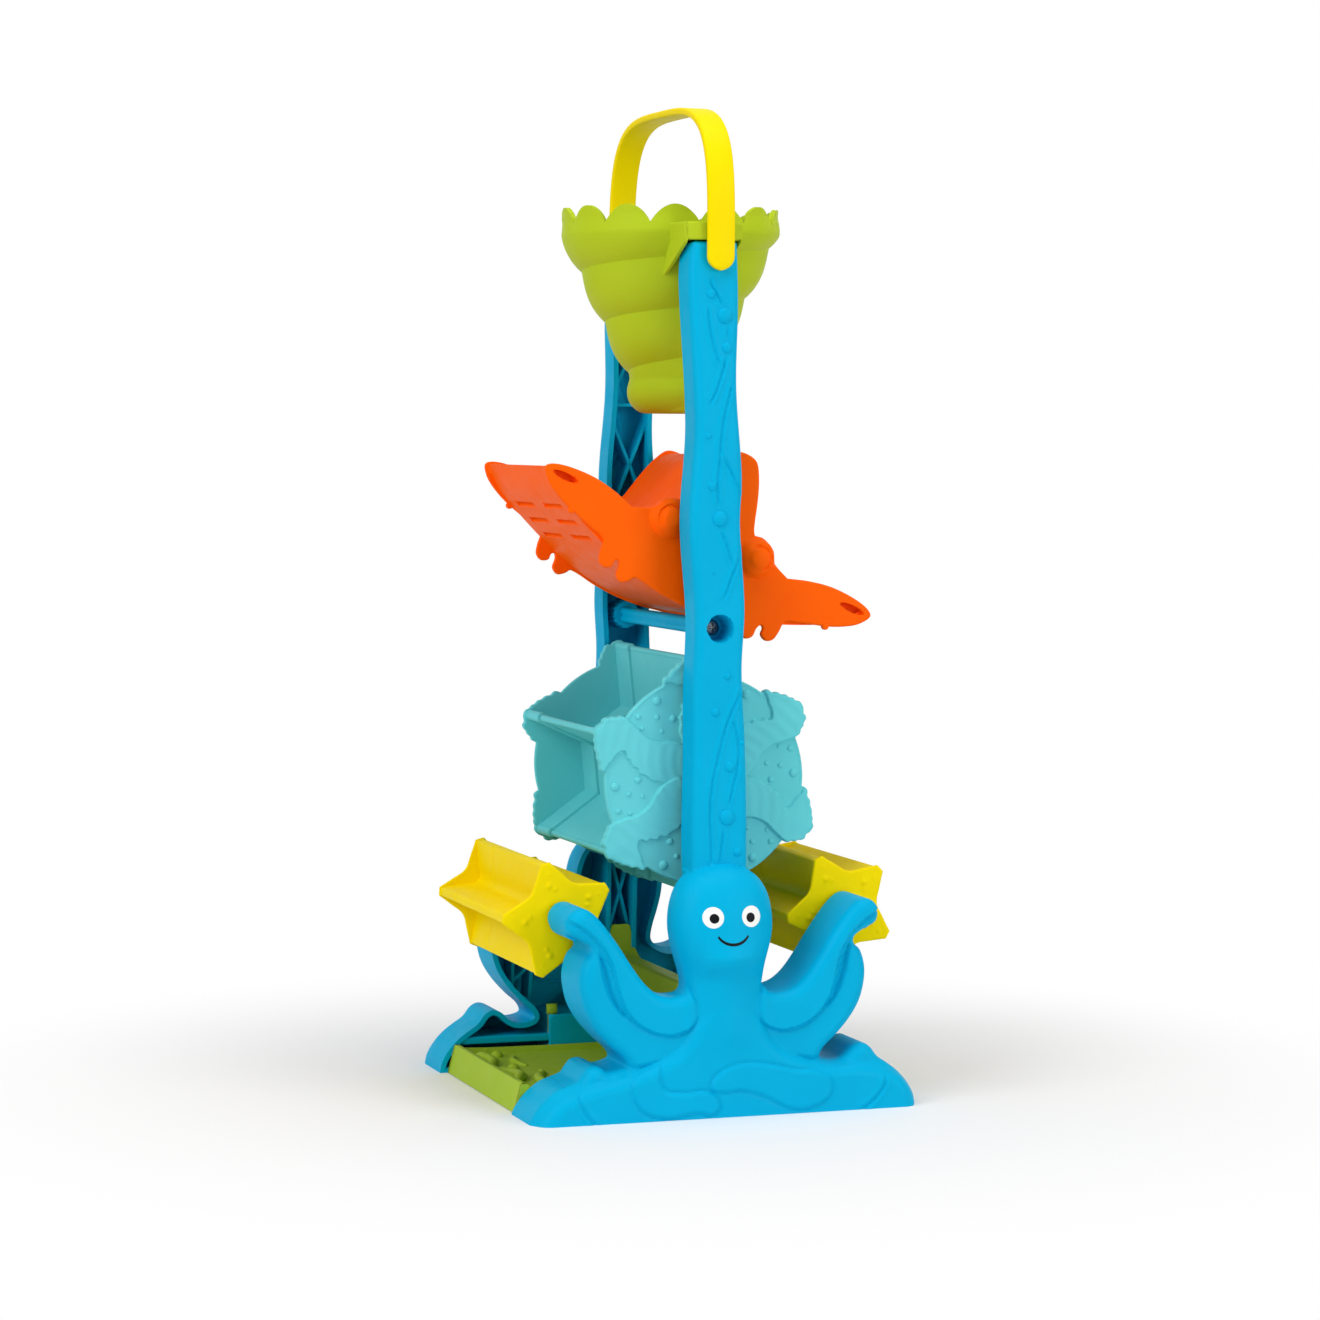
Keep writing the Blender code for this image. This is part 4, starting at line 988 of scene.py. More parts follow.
def face_print(form):
    """Plain round eyes and a smile printed on the head."""
    thin, thick, root = 0.06, 0.12, 0.3

    def print_on(name, loop, lift):
        made = relief_plate(name, loop, (0.2,), 0.8, lambda p, gap: -form.proud(p) - lift,
                            lambda p, gap: -form.proud(p) + root)
        return lean_and_place(made)

    whites = []
    darks = []
    for side in (-1, 1):
        whites.append(print_on("eye_white", circle(side * 8.4, 84, 4.4), thin))
        darks.append(print_on("pupil", circle(side * 8.0, 83.6, 2.0), thick))
    arc = np.radians(np.linspace(205, 335, 24))
    outer = np.column_stack([7.6 * np.cos(arc), 78.5 + 6.4 * np.sin(arc)])
    inner = np.column_stack([7.0 * np.cos(arc[::-1]), 78.9 + 5.6 * np.sin(arc[::-1])])
    darks.append(print_on("smile", np.vstack([outer, inner]), thin))
    return [(joined("face_whites", whites), EYE_WHITE), (joined("face_darks", darks), EYE_DARK)]


# Tie bar: (degrees, radius) over one of its four flutes; screw: head, cross slot and shank
TIE_FLUTE = ((-24, 3.6), (0, 4.0), (24, 3.6), (45, 2.7))
SCREW_R = 3.2
SCREW_HEIGHT = 2.2
SCREW_SLOT = 1.0
SHANK_R = 1.5
SHANK = 12.5


def tie_bar_and_screws():
    """Fluted bar between the posts, and the screw that holds it at each end."""
    low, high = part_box("tie_bar")
    flutes = polar([(45 + 90 * k + turn, radius) for k in range(4) for turn, radius in TIE_FLUTE])
    fluted = extruded("tie_bar_fluted", smooth_path(flutes, 0.5, closed=True),
                      low.y / MM, high.y / MM, 0.3, 1.2)
    turned(fluted, move=(0, 0, TIE_Z))
    placed(joined("fluted_tie_bar", [fluted]), "stand", "tie_bar", BLUE)
    seat = face_at(TIE_Z) - POST_DEPTH + WALL + 0.3

    def head(p, gap):
        across = np.minimum(np.abs(p[:, 0]), np.abs(p[:, 1]))
        reach = np.hypot(p[:, 0], p[:, 1])
        dome = seat + SCREW_HEIGHT - 0.07 * reach**2 - edge_round(gap, 0.5)
        slot = (1 - ramp(across, 0.3, 0.45)) * (1 - ramp(reach, 1.7, 1.9))
        return -(dome - SCREW_SLOT * slot)

    screw = relief_plate("screw_head", circle(0, 0, SCREW_R), (0.1, 0.3, 0.5), 0.18, head,
                         lambda p, gap: -seat + 0 * gap)
    shank = rod("shank", 0, 0, -seat - 0.2, -seat + SHANK, SHANK_R, 0.3, 20)
    front = turned(joined("tie_screw_front_steel", [screw, shank]), move=(0, 0, TIE_Z))
    rear = twin(front, "tie_screw_rear_steel", HALF_TURN)
    placed(front, "stand", "tie_screw_front", STEEL)
    placed(rear, "stand", "tie_screw_rear", STEEL)


STRAP_SQUARENESS = 3.8
STRAP_THICK = 3.0
STRAP_CORNER = 0.9
STRAP_PIN_R = 3.0
STRAP_LEG = (1.0, 0.97, 0.9, 0.78, 0.62, 0.42, 0.2)


def strap_path(reach, rise, end_r):
    """Middle line of the strap: upright legs, soft shoulders and a nearly flat top, in (y, z)."""
    turn = np.linspace(0, math.pi, 400)
    power = 2 / STRAP_SQUARENESS
    side = np.sign(np.cos(turn)) * np.abs(np.cos(turn)) ** power
    arch = np.column_stack([-reach * side, rise * np.sin(turn) ** power])
    legs = [(-reach, -end_r * share) for share in STRAP_LEG]
    line = np.vstack([legs, arch, flipped(legs)[::-1]])
    run = np.concatenate([[0], np.cumsum(np.linalg.norm(np.diff(line, axis=0), axis=1))])
    ends = len(legs)
    between = np.arange(end_r + 0.3, run[-1] - end_r - 0.2, 0.7)
    keep = np.concatenate([run[:ends], between, run[-ends:]])
    return np.column_stack([np.interp(keep, run, line[:, k]) for k in (0, 1)])


def strap_handle():
    """Strap of an even rounded section, round at its ends, with a pin at each."""
    low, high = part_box("handle")
    pivot = AXLE["handle_swing"].z / MM
    half_thick = STRAP_THICK / 2
    middle = high.y / MM - half_thick
    end_r = (high.x - low.x) / MM / 2
    path = strap_path(middle, high.z / MM - pivot - half_thick, end_r)
    tangent = np.gradient(path, axis=0)
    tangent /= np.linalg.norm(tangent, axis=1)[:, None]
    normal = np.column_stack([-tangent[:, 1], tangent[:, 0]])
    section = []
    for sx, sn, start in ((1, 1, 0), (-1, 1, 90), (-1, -1, 180), (1, -1, 270)):
        for turn in np.radians(start + np.arange(0, 91, 22.5)):
            section.append((sx, sn, STRAP_CORNER * math.cos(turn), STRAP_CORNER * math.sin(turn)))
    rings = []
    for (y, z), n in zip(path, normal):
        half_wide = math.sqrt(max(end_r**2 - min(z, 0.0)**2, 0.0))
        squeeze = min(1.0, half_wide / end_r + 0.02)
        ring = []
        for sx, sn, dx, dn in section:
            off = sn * (half_thick - STRAP_CORNER) + dn
            ring.append((sx * max(half_wide - STRAP_CORNER, 0) + dx * squeeze,
                         y + n[0] * off, z + n[1] * off))
        rings.append(ring)
    pieces = [turned(tube("strap", rings), move=(0, 0, pivot))]
    inside_post = post_inside("handle_swing") + PIN_CLEARANCE
    for end in (-1, 1):
        pieces.append(pin(middle - 0.4, inside_post, end, STRAP_PIN_R, pivot))
    placed(joined("strap_handle", pieces), "handle", "handle", YELLOW)


# Ears that carry the funnel on the posts: side walls, gaps beside a post, and heights over the seat
EAR_WALLS = (1.8, 0.8)
EAR_GAPS = (0.6, 0.3)
EAR_TOP = 7.5
GUSSET_TOP = 7.3
GUSSET_DROP = 15


def conch_funnel():
    """Spiral funnel with an ear over each post: a block, and a gusset on either side of it."""
    hopper = funnel_growth(LIME).run(mesh_object("hopper", [(0, 0, 0)], []))
    solid_wall(hopper, FUNNEL_WALL)
    seat = POST_TOP + 0.3
    reach = face_at(POST_TOP)
    root = funnel_fit(seat)
    left_wall, right_wall = EAR_WALLS
    left = -max(half for part, half in POST_LEFT if part > 0.8) - EAR_GAPS[0]
    right = max(half for part, half in POST_RIGHT if part > 0.8) + EAR_GAPS[1]
    arc = np.linspace(left - left_wall, right + right_wall, 13)
    inner = [(x, -math.sqrt(root**2 - x**2)) for x in arc]
    plan = np.array([(left - left_wall, -reach), (right + right_wall, -reach), *inner[::-1]])
    ear = extruded("ear", straight_loop(plan, 3.0), -seat - EAR_TOP, -seat, 0.7, 5.0)
    ear.data.transform(Matrix.Rotation(-math.pi / 2, 4, "X"))
    for vertex in ear.data.vertices:
        out = math.hypot(vertex.co.x, vertex.co.y) / MM
        fit = funnel_fit(vertex.co.z / MM)
        stretch = (fit + (out - root) * (reach - fit) / (reach - root)) / out
        vertex.co.xy *= min(stretch, 1.05) if out < reach else 1.0
    ears = [ear]
    for x, thick in ((left - left_wall, left_wall), (right, right_wall)):
        across = x + thick / 2
        heights = np.arange(seat - GUSSET_DROP, seat + GUSSET_TOP + 0.1, 3.7)
        root_line = [(-math.sqrt(funnel_fit(z)**2 - across**2), z) for z in heights]
        gusset = [(-reach, seat + GUSSET_TOP), (-reach, seat - 0.5), (-reach + 10, seat - 6),
                  *root_line]
        plate = extruded("gusset", straight_loop(gusset, 2.0), -x - thick, -x, 0.4, 4.0)
        plate.data.transform(Matrix.Rotation(math.pi / 2, 4, "Z"))
        ears.append(plate)
    front = joined("ear_front", ears)
    pieces = [hopper, twin(front, "ear_rear", HALF_TURN), front]
    placed(joined("conch_funnel", pieces), "stand", "funnel", LIME)


# Seesaw, drawn level about its own axle
SEESAW_TILT = 23.5
SEESAW_HALF = 45.0
SEESAW_PLATE = 2.4
SEESAW_PIN_R = 3.5
CRAB_STEP = 0.7
CRAB_HALF = [
    (0, 50.6), (5, 49.4), (8.4, 44.5), (11.8, 36), (15.6, 23), (17, 20.4, "V"), (21.5, 20.8),
    (26.8, 18.2), (29.8, 13.4), (38.2, 9.6, "V"), (47.6, 12.4), (58, 14.2), (69, 14), (77, 12.4),
    (80, 10), (78, 6.2), (73.6, 2.6), (64.6, -1.6), (50.2, -5.8), (44.6, -8), (43.8, -13),
    (42.6, -17), (39.6, -18.6), (36.6, -17), (36.4, -14.2), (35, -13.4), (33.8, -15.4),
    (33.4, -19.4), (30.4, -21.4), (27.2, -19.6), (25, -17.2), (12, -18.9), (0, -19.6),
]
WEDGE_HALF = [(0, 50), (4.6, 48.8), (8.4, 44.5), (11.8, 36), (15.6, 23), (22, 6), (30, -10.5)]
FLOOR_HALF = [(0, -18.6), (14, -17.8), (30, -14.4), (44, -9.4), (58, -3.6), (70, 2.2), (77.6, 8.6)]
FLOOR_TIP = (79.2, 10.2, "V")
SLOT_PLACES = (46, 54.5, 63)
KNOB_SPOT = (62.5, -2.3)
EYE_SPOT = (21.5, 11.8)
EYE_R = 8.8
EYE_BULGE = 5.5
# Slit in a claw: (x, z, half length, half height), the share of it that is floor, and its depth
CLAW_SLIT = (70.6, 9.4, 6.0, 1.6)
SLIT_FLOOR = 0.86
SLIT_DEPTH = 4.4


def crab_face(points, gap):
    """Outer side of a crab plate: bulging eyes under a crescent lid, a slit in each claw."""
    rise = 0 * gap
    for side in (-1, 1):
        spot = np.array((side * EYE_SPOT[0], EYE_SPOT[1]))
        off = points - spot
        reach = np.hypot(*off.T)
        turn = np.degrees(np.arctan2(off[:, 1], off[:, 0] * side))
        dome = dome_height(points, spot, (EYE_R, EYE_R), EYE_BULGE + 1.0, 1.0)
        lid = np.exp(-((reach - 5.2) / 0.6)**2) * ramp(turn, -70, -30) * (1 - ramp(turn, 120, 160))
        ball = 0.7 * ramp(5.0 - reach, 0, 1.5)
        rise = np.maximum(rise, np.where(dome > -1, dome + ball - 1.1 * lid - 0.7, NOWHERE))
        x, z, half, high = CLAW_SLIT
        share = np.hypot((points[:, 0] - side * x) / half, (points[:, 1] - z) / high)
        rise = rise - SLIT_DEPTH * np.clip((1 - share) / (1 - SLIT_FLOOR), 0, 1)
    return -SEESAW_HALF - rise + edge_round(gap, 0.9)


def crab_back(points, gap):
    """Inner side of a crab plate, thicker behind the slits."""
    x, z, half, high = CLAW_SLIT
    share = np.hypot((np.abs(points[:, 0]) - x) / (half + 2), (points[:, 1] - z) / (high + 2))
    boss = (SLIT_DEPTH - SEESAW_PLATE + 0.8) * (1 - ramp(share, 0.75, 1.0)) * ramp(gap, 0.0, 0.8)
    return SEESAW_PLATE - SEESAW_HALF - edge_round(gap, 0.5) + boss


def slit_lines():
    """Borders of the slits in both claws, at their lip and at their floor."""
    turn = np.radians(np.arange(0, 360, 6))
    return [np.column_stack([side * CLAW_SLIT[0] + CLAW_SLIT[2] * share * np.cos(turn),
                             CLAW_SLIT[1] + CLAW_SLIT[3] * share * np.sin(turn)])
            for side in (-1, 1) for share in (1.0, SLIT_FLOOR, SLIT_FLOOR / 2)]


def crab_seesaw():
    """Tray between two crab plates, with a wedge across its middle and slots in its floor."""
    inner = SEESAW_HALF - SEESAW_PLATE
    outline = resampled(smooth_path(mirrored(CRAB_HALF), CRAB_STEP, closed=True), CRAB_STEP)
    plate = relief_plate("crab_plate", outline, (0.1, 0.3, 0.6, 0.95), 0.9, crab_face,
                         crab_back, slit_lines())
    pieces = [plate, twin(plate, "crab_plate_rear", TO_REAR)]
    upper = [(max(0, x - 0.6), z + SEESAW_PLATE) for x, z in reversed(FLOOR_HALF)]
    sheet = smooth_path(mirrored(FLOOR_HALF + [FLOOR_TIP] + upper), 1.5, closed=True)
    floor = extruded("sieve_floor", sheet, -inner - 0.3, inner + 0.3, 0.0, 1.6)
    spots = [(side * along, half * inner * 0.46, along * 0.42 - 27)
             for side in (-1, 1) for along in SLOT_PLACES for half in (-1, 1)]
    cutters = mesh_object("slot_cutters", spots, [])
    slot_growth(ORANGE).run(cutters, Length=inner * 0.6 * MM)
    pieces.append(cut_by(floor, cutters))
    skin = smooth_path(flipped(WEDGE_HALF)[::-1][:-1] + WEDGE_HALF, 1.0)
    tangent = np.gradient(skin, axis=0)
    tangent /= np.linalg.norm(tangent, axis=1)[:, None]
    normal = np.column_stack([tangent[:, 1], -tangent[:, 0]])
    shell = np.vstack([skin + normal * 0.6, (skin + normal * WALL)[::-1]])
    pieces.append(extruded("wedge", shell, -inner - 0.2, inner + 0.2, 0.0, 1.6))
    for end in (-1, 1):
        pieces.append(pin(inner + 1, post_inside("seesaw_tip") - PIN_CLEARANCE, end, SEESAW_PIN_R))
        ends = sorted((end * inner, end * SEESAW_HALF))
        for side in (-1, 1):
            pieces.append(rod("knob", side * KNOB_SPOT[0], KNOB_SPOT[1], *ends, 1.5, 0.5, 24))
    made = turned(joined("crab_seesaw", pieces), angle_y=SEESAW_TILT)
    placed(on_axle(made, "seesaw_tip"), "seesaw", "seesaw", ORANGE)


def cut_by(target, tool):
    """Take one shape out of another."""
    modifier = target.modifiers.new("cut", "BOOLEAN")
    modifier.operation = "DIFFERENCE"
    modifier.solver = "EXACT"
    modifier.object = tool
    applied(target, modifier)
    bpy.data.objects.remove(tool, do_unlink=True)
    return tidy_normals(target)


# Sand wheel; rays and drops are in degrees from a middle line and millimetres from the axle
WHEEL_PHASE = 5.9
WHEEL_RAYS = 6
RAY_TURN = 60
WHEEL_DISC_R = 44.5
WHEEL_HUB_R = 25.0
WHEEL_R = 54.0
WHEEL_HALF = face_at(AXLE["wheel_spin"].z / MM + WHEEL_R) - POST_DEPTH - 1.5
WHEEL_SEAM = 21.5
WHEEL_GAP = 1.7
WHEEL_PIN_R = 4.0
WHEEL_STEP = 0.7
VANE_FRONT, VANE_REAR = 1.1, 2.0
RELIEF = 1.9
RAY = [
    (-42, 11), (-33, 18), (-23, 22.6), (-14, 26.9), (-11, 33), (-12.2, 38), (-12.8, 42.5),
    (-13, 44.6), (-12.3, 47), (-10.8, 47.6), (-9.6, 49.6), (-8.4, 50.2), (-7.4, 51.8), (-5.5, 52.8),
    (-4.4, 52.2), (-2, 53.5), (1.2, 53.8), (2.8, 52.5), (4.6, 52.4), (6, 51.2), (8, 51),
    (9.8, 49.6), (12.4, 49), (14.5, 47.3), (17.2, 47.2), (18.8, 45.6), (15.5, 44.2), (12, 42.3),
    (8.4, 41.4), (4.8, 39), (5.4, 37.6), (8.4, 36.9), (9.4, 34.8), (13.4, 33.2), (14.2, 30.8),
    (18, 29.6), (19.4, 27), (24, 23.7), (25.5, 20.5), (30, 17), (34, 11),
]
WHEEL_DROPS = (
    (-7, 30, 1.5), (3, 34.5, 1.2), (-3, 40.2, 1.9), (7, 28.5, 1.0), (12, 40.5, 1.3), (16, 36, 1.0),
)


def ray_middles():
    """Middle line of each ray and vane, in degrees."""
    return [WHEEL_PHASE + RAY_TURN / 2 + RAY_TURN * k for k in range(WHEEL_RAYS)]


def wheel_outline():
    """Disc with the tips of the frilled rays beyond it."""
    turns = []
    for middle in ray_middles():
        tip = [(middle + a, r) for a, r in RAY if r > WHEEL_DISC_R]
        turns += [(tip[0][0] - 0.4, WHEEL_DISC_R)] + tip + [(tip[-1][0] + 0.4, WHEEL_DISC_R)]
        start, stop = tip[-1][0] + 2, tip[0][0] + RAY_TURN - 2
        turns += [(a, WHEEL_DISC_R) for a in np.linspace(start, stop, 8)]
    return resampled(smooth_path(polar(turns), WHEEL_STEP, closed=True), WHEEL_STEP)


def wheel_relief(points):
    """Raised frilled rays, each higher on one side, with a ragged step and groove on the other."""
    reach = np.hypot(*points.T)
    bearing = np.degrees(np.arctan2(points[:, 1], points[:, 0]))
    rise = 0.3 * np.exp(-((reach - WHEEL_DISC_R + 0.8) / 0.5)**2)
    groove = 0 * reach
    for middle in ray_middles():
        loop = smooth_path(polar([(middle + a, r) for a, r in RAY]), 1.0, closed=True)
        depth = depth_inside(points, loop)
        off = (bearing - middle + 180) % 360 - 180
        height = RELIEF * (0.78 - 0.22 * np.clip(off / 24, -1, 1))
        veins = 0.13 * np.cos(np.radians(off * 24)) * ramp(reach, 40, 50)
        veins += 0.1 * np.cos(reach * 1.1 + off * 0.2)
        rise = np.maximum(rise, (height + veins * ramp(depth, 0.8, 3.0)) * ramp(depth, -0.15, 0.5))
        ragged = (off > 1) & (off < 31) & (reach < 45.5)
        cut = np.where(ragged, np.exp(-((depth + 0.55) / 0.5)**2), 0) * ramp(reach, 18, 23)
        groove = np.maximum(groove, cut)
    hub = 0.9 * ramp(10.0 - reach, 0, 1.2)
    return np.maximum(rise - 1.3 * groove, hub)


def hub_wall(name, far, near, low, high, rounding):
    """The flat side of the hub between two vanes."""
    corners = polar([(0, far), (RAY_TURN, far), (RAY_TURN, near), (0, near)])
    return extruded(name, straight_loop(corners, 3.0), low, high, rounding, 4.0)


def sand_wheel():
    """Six-pocket wheel of two mouldings with a seam between; the front one has thinner vanes."""
    face = WHEEL_HALF - RELIEF
    disc = relief_plate("wheel_disc", wheel_outline(), (0.1, 0.35, 0.8), 0.6,
                        lambda p, gap: -face - wheel_relief(p) + edge_round(gap, 0.7),
                        lambda p, gap: -face + WALL - edge_round(gap, 0.4))
    spots = []
    for k in range(WHEEL_RAYS):
        for turn, reach, size in WHEEL_DROPS:
            x, z = polar([(WHEEL_PHASE + RAY_TURN * k + turn, reach)])[0]
            spots.append((x, -face, z, size))
    front_face = joined("wheel_face_front", [disc, bubble_mesh("wheel_bubbles", spots, AQUA, 0.6)])
    rear_face = turned(twin(front_face, "wheel_face_rear", HALF_TURN), angle_y=-2 * WHEEL_PHASE)
    split = WHEEL_HALF - WHEEL_SEAM
    edge, gap = face - WALL / 2, WHEEL_GAP / 2
    halves = (("wheel_front_half", front_face, -edge, split - gap, -1, VANE_FRONT),
              ("wheel_rear_half", rear_face, split + gap, edge, 1, VANE_REAR))
    for node, cover, low, high, end, thick in halves:
        hub = WHEEL_HUB_R + thick - 1.2
        near, far = (WHEEL_HUB_R - 2.2, low, -thick), (WHEEL_R - 2.4, high, thick)
        pieces = [rounded_box("vane", near, far, 0.5),
                  rod("rail", WHEEL_R - 2.9, 0, low, high, thick + 0.25, 0.5, 24),
                  hub_wall("hub_wall", hub, hub - 3.2, low, high, 0.5)]
        if end < 0:
            near, far = (hub - 2, split - 2, -0.5), (WHEEL_R - 3.6, split + 2, 0.5)
            pieces.append(rounded_box("seam", near, far, 0.2))
            pieces.append(hub_wall("seam_hub", hub - 1.2, hub - 2.2, split - 2, split + 2, 0.2))
        bladed = AROUND_AXLE.run(joined("sector", pieces), Count=WHEEL_RAYS,
                                 Phase=math.radians(ray_middles()[0]))
        stub = pin(face - 1, post_inside("wheel_spin") - PIN_CLEARANCE, end, WHEEL_PIN_R)
        made = on_axle(joined("sand_" + node, [bladed, cover, stub]), "wheel_spin")
        placed(made, "wheel", node, AQUA)


# Star wheels; drops are (degrees, millimetres from the axle, radius)
STAR_R = 25.0
STAR_VALLEY_R = 16.5
STAR_HUB_R = 8.2
STAR_PLATE = 2.0
STAR_SEAM = 25.0
STAR_PIN_R = 3.0
STAR_STEP = 0.6
STAR_POINTS = 5
POINT_TURN = 72
STAR_PHASE = {"left": 33.0, "right": 43.5}
STAR_DROPS = ((4, 15.4, 1.3), (-5, 13.4, 1.0), (-1, 20.2, 0.7))
BLUNT_TIP = ((-1.0, 0.8), (-0.9, 0.2), (-0.65, 0.0), (0.65, 0.0), (0.9, 0.2), (1.0, 0.8))


def star_loop(tip, valley, tip_width, phase):
    """Five blunt points with straight flanks and small rounded valleys between."""
    outline = []
    spread = math.degrees(math.asin(tip_width / 2 / tip))
    for k in range(STAR_POINTS):
        middle = phase + POINT_TURN * k
        corners = polar([(middle + spread * side, tip - drop) for side, drop in BLUNT_TIP])
        low, last = np.array(polar([(middle + POINT_TURN / 2, valley),
                                    (middle + POINT_TURN - spread, tip - 0.8)]))
        first = np.array(corners[-1])
        outline += [(*corners[0], "V"), *corners[1:-1], (*corners[-1], "V")]
        outline += [tuple(first + (low - first) * share) for share in (0.55, 0.88)]
        outline += [tuple(low + (last - low) * share) for share in (0.12, 0.45)]
    return resampled(smooth_path(outline, STAR_STEP, closed=True), STAR_STEP)


def star_relief(points, phase):
    """A few drops down each point of the star, and a faint swelling round its middle."""
    reach = np.hypot(*points.T)
    rise = 0.4 * (1 - ramp(reach, 7.0, 13.0))
    for k in range(STAR_POINTS):
        for turn, far, size in STAR_DROPS:
            spot = np.array(polar([(phase + POINT_TURN * k + turn, far)])[0])
            off = np.hypot(*(points - spot).T)
            rise = np.maximum(rise, 0.45 * np.sqrt(np.maximum(size**2 - off**2, 0)))
    return rise


def star_wheels():
    """Two star wheels in the arms, each of two mouldings with a star plate at the end."""
    half = BODY_INNER - 1.5
    split = half - STAR_SEAM
    for side, phase in STAR_PHASE.items():
        body = f"star_{side}"
        outline = star_loop(STAR_R, STAR_VALLEY_R, 5.0, phase)
        plate = relief_plate(
            "star_plate", outline, (0.1, 0.3, 0.7), 0.8,
            lambda p, gap: -half - star_relief(p, phase) + 0.5 + edge_round(gap, 0.7),
            lambda p, gap: -half + STAR_PLATE - edge_round(gap, 0.4))
        rear_plate = twin(plate, "star_plate_rear", TO_REAR)
        core = star_loop(STAR_R - 0.6, STAR_HUB_R, 4.0, phase)
        for end, label, cover, low, high in ((-1, "front", plate, -half + 1, split - 0.15),
                                             (1, "rear", rear_plate, split + 0.15, half - 1)):
            vanes = extruded("star_vanes", core, low, high, 0.45, 3.0)
            stub = pin(half - 1, BODY_INNER + 10, end, STAR_PIN_R)
            made = on_axle(joined(f"star_{side}_{label}", [cover, vanes, stub]), body + "_spin")
            placed(made, body, f"star_{side}_{label}_half", YELLOW)


# Tray: sizes, and the right halves of its divider and of the tongues at its ends, (x, z)
TRAY_HALF_W = 83.5
TRAY_HALF_D = 50.5
TRAY_WALL_H = 12.5
TRAY_FLOOR = 8.0
TRAY_FOOT = 0.3
DIVIDER_INSIDE = [(0, 46.6), (2.6, 46.6), (4.9, 14), (6.6, 8.4), (9.6, 6.2)]
DIVIDER = [
    (0, 49), (3.2, 49), (4.3, 48.5), (4.8, 47.4), (6.6, 20), (7.2, 14), (8.4, 10.6), (10.8, 8.7),
    (14, 8),
]
TONGUE = [
    (0, 62), (3.4, 62), (4.4, 61.4), (4.8, 60.2), (5.8, 55.4), (7.4, 50.4), (9.8, 46), (11.8, 41.4),
    (12.6, 36), (12.8, 24.4, "V"),
]
TONGUE_NECK = [(0, 49), (3.2, 49), (4.3, 48.5), (4.8, 47.4), (6.3, 24.4, "V")]
TONGUE_Y = 60.9

# Kelp lying in the tray's basins: (x, y, z, radius) along each frond, and the drops beside them
FRONDS = [
    [(-78, -30, 9.5, 1.2), (-73, -22, 10.5, 2.2), (-69, -12, 9.6, 2.6), (-70, -2, 9.2, 2.2),
     (-74, 6, 9.4, 1.2)],
    [(-60, -38, 8.6, 1.0), (-64, -28, 9.4, 2.0), (-62, -16, 9.2, 2.4), (-57, -6, 8.8, 1.6),
     (-55, 4, 8.6, 0.9)],
    [(-76, 12, 9.4, 1.4), (-72, 20, 10.2, 2.6), (-74, 30, 10.4, 3.0), (-70, 38, 9.4, 1.6)],
    [(-58, 14, 8.6, 0.9), (-61, 24, 9.2, 1.8), (-58, 34, 9.0, 1.4)],
]
TRAY_DROPS = [
    (-66, 8, 8, 2.6), (-66, -34, 8, 2.0), (-78, -8, 8.4, 1.8), (-64, 40, 8, 2.8),
    (-76, 42, 8.4, 2.2), (-58, -20, 8, 1.4), (-68, 28, 8, 1.6),
]
# Snap tab at the tray's end: corners, with y from the end, and rounding
TAB_PIECES = (("tab_toe", (-36, -1, 4.6), (-32.6, 4, 7.2), 0.4),
              ("tab_stem", (-36, 1.6, 4.6), (-32.6, 4, 25), 0.4),
              ("snap_tab", (-36.7, 0.6, 24), (-32, 4.4, 28.3), 1.2))


def frond(knots):
    """A round strand of kelp through (x, y, z, radius) places."""
    route = smooth_path(knots, 1.2)
    turns = np.radians(np.arange(0, 360, 30))
    tangent = np.gradient(route[:, :2], axis=0)
    tangent /= np.linalg.norm(tangent, axis=1)[:, None]
    rings = []
    for (x, y, z, radius), (tx, ty) in zip(route, tangent):
        rings.append([(x - ty * radius * math.cos(a), y + tx * radius * math.cos(a),
                       z - 1 + radius * math.sin(a)) for a in turns])
    return tube("frond", rings)


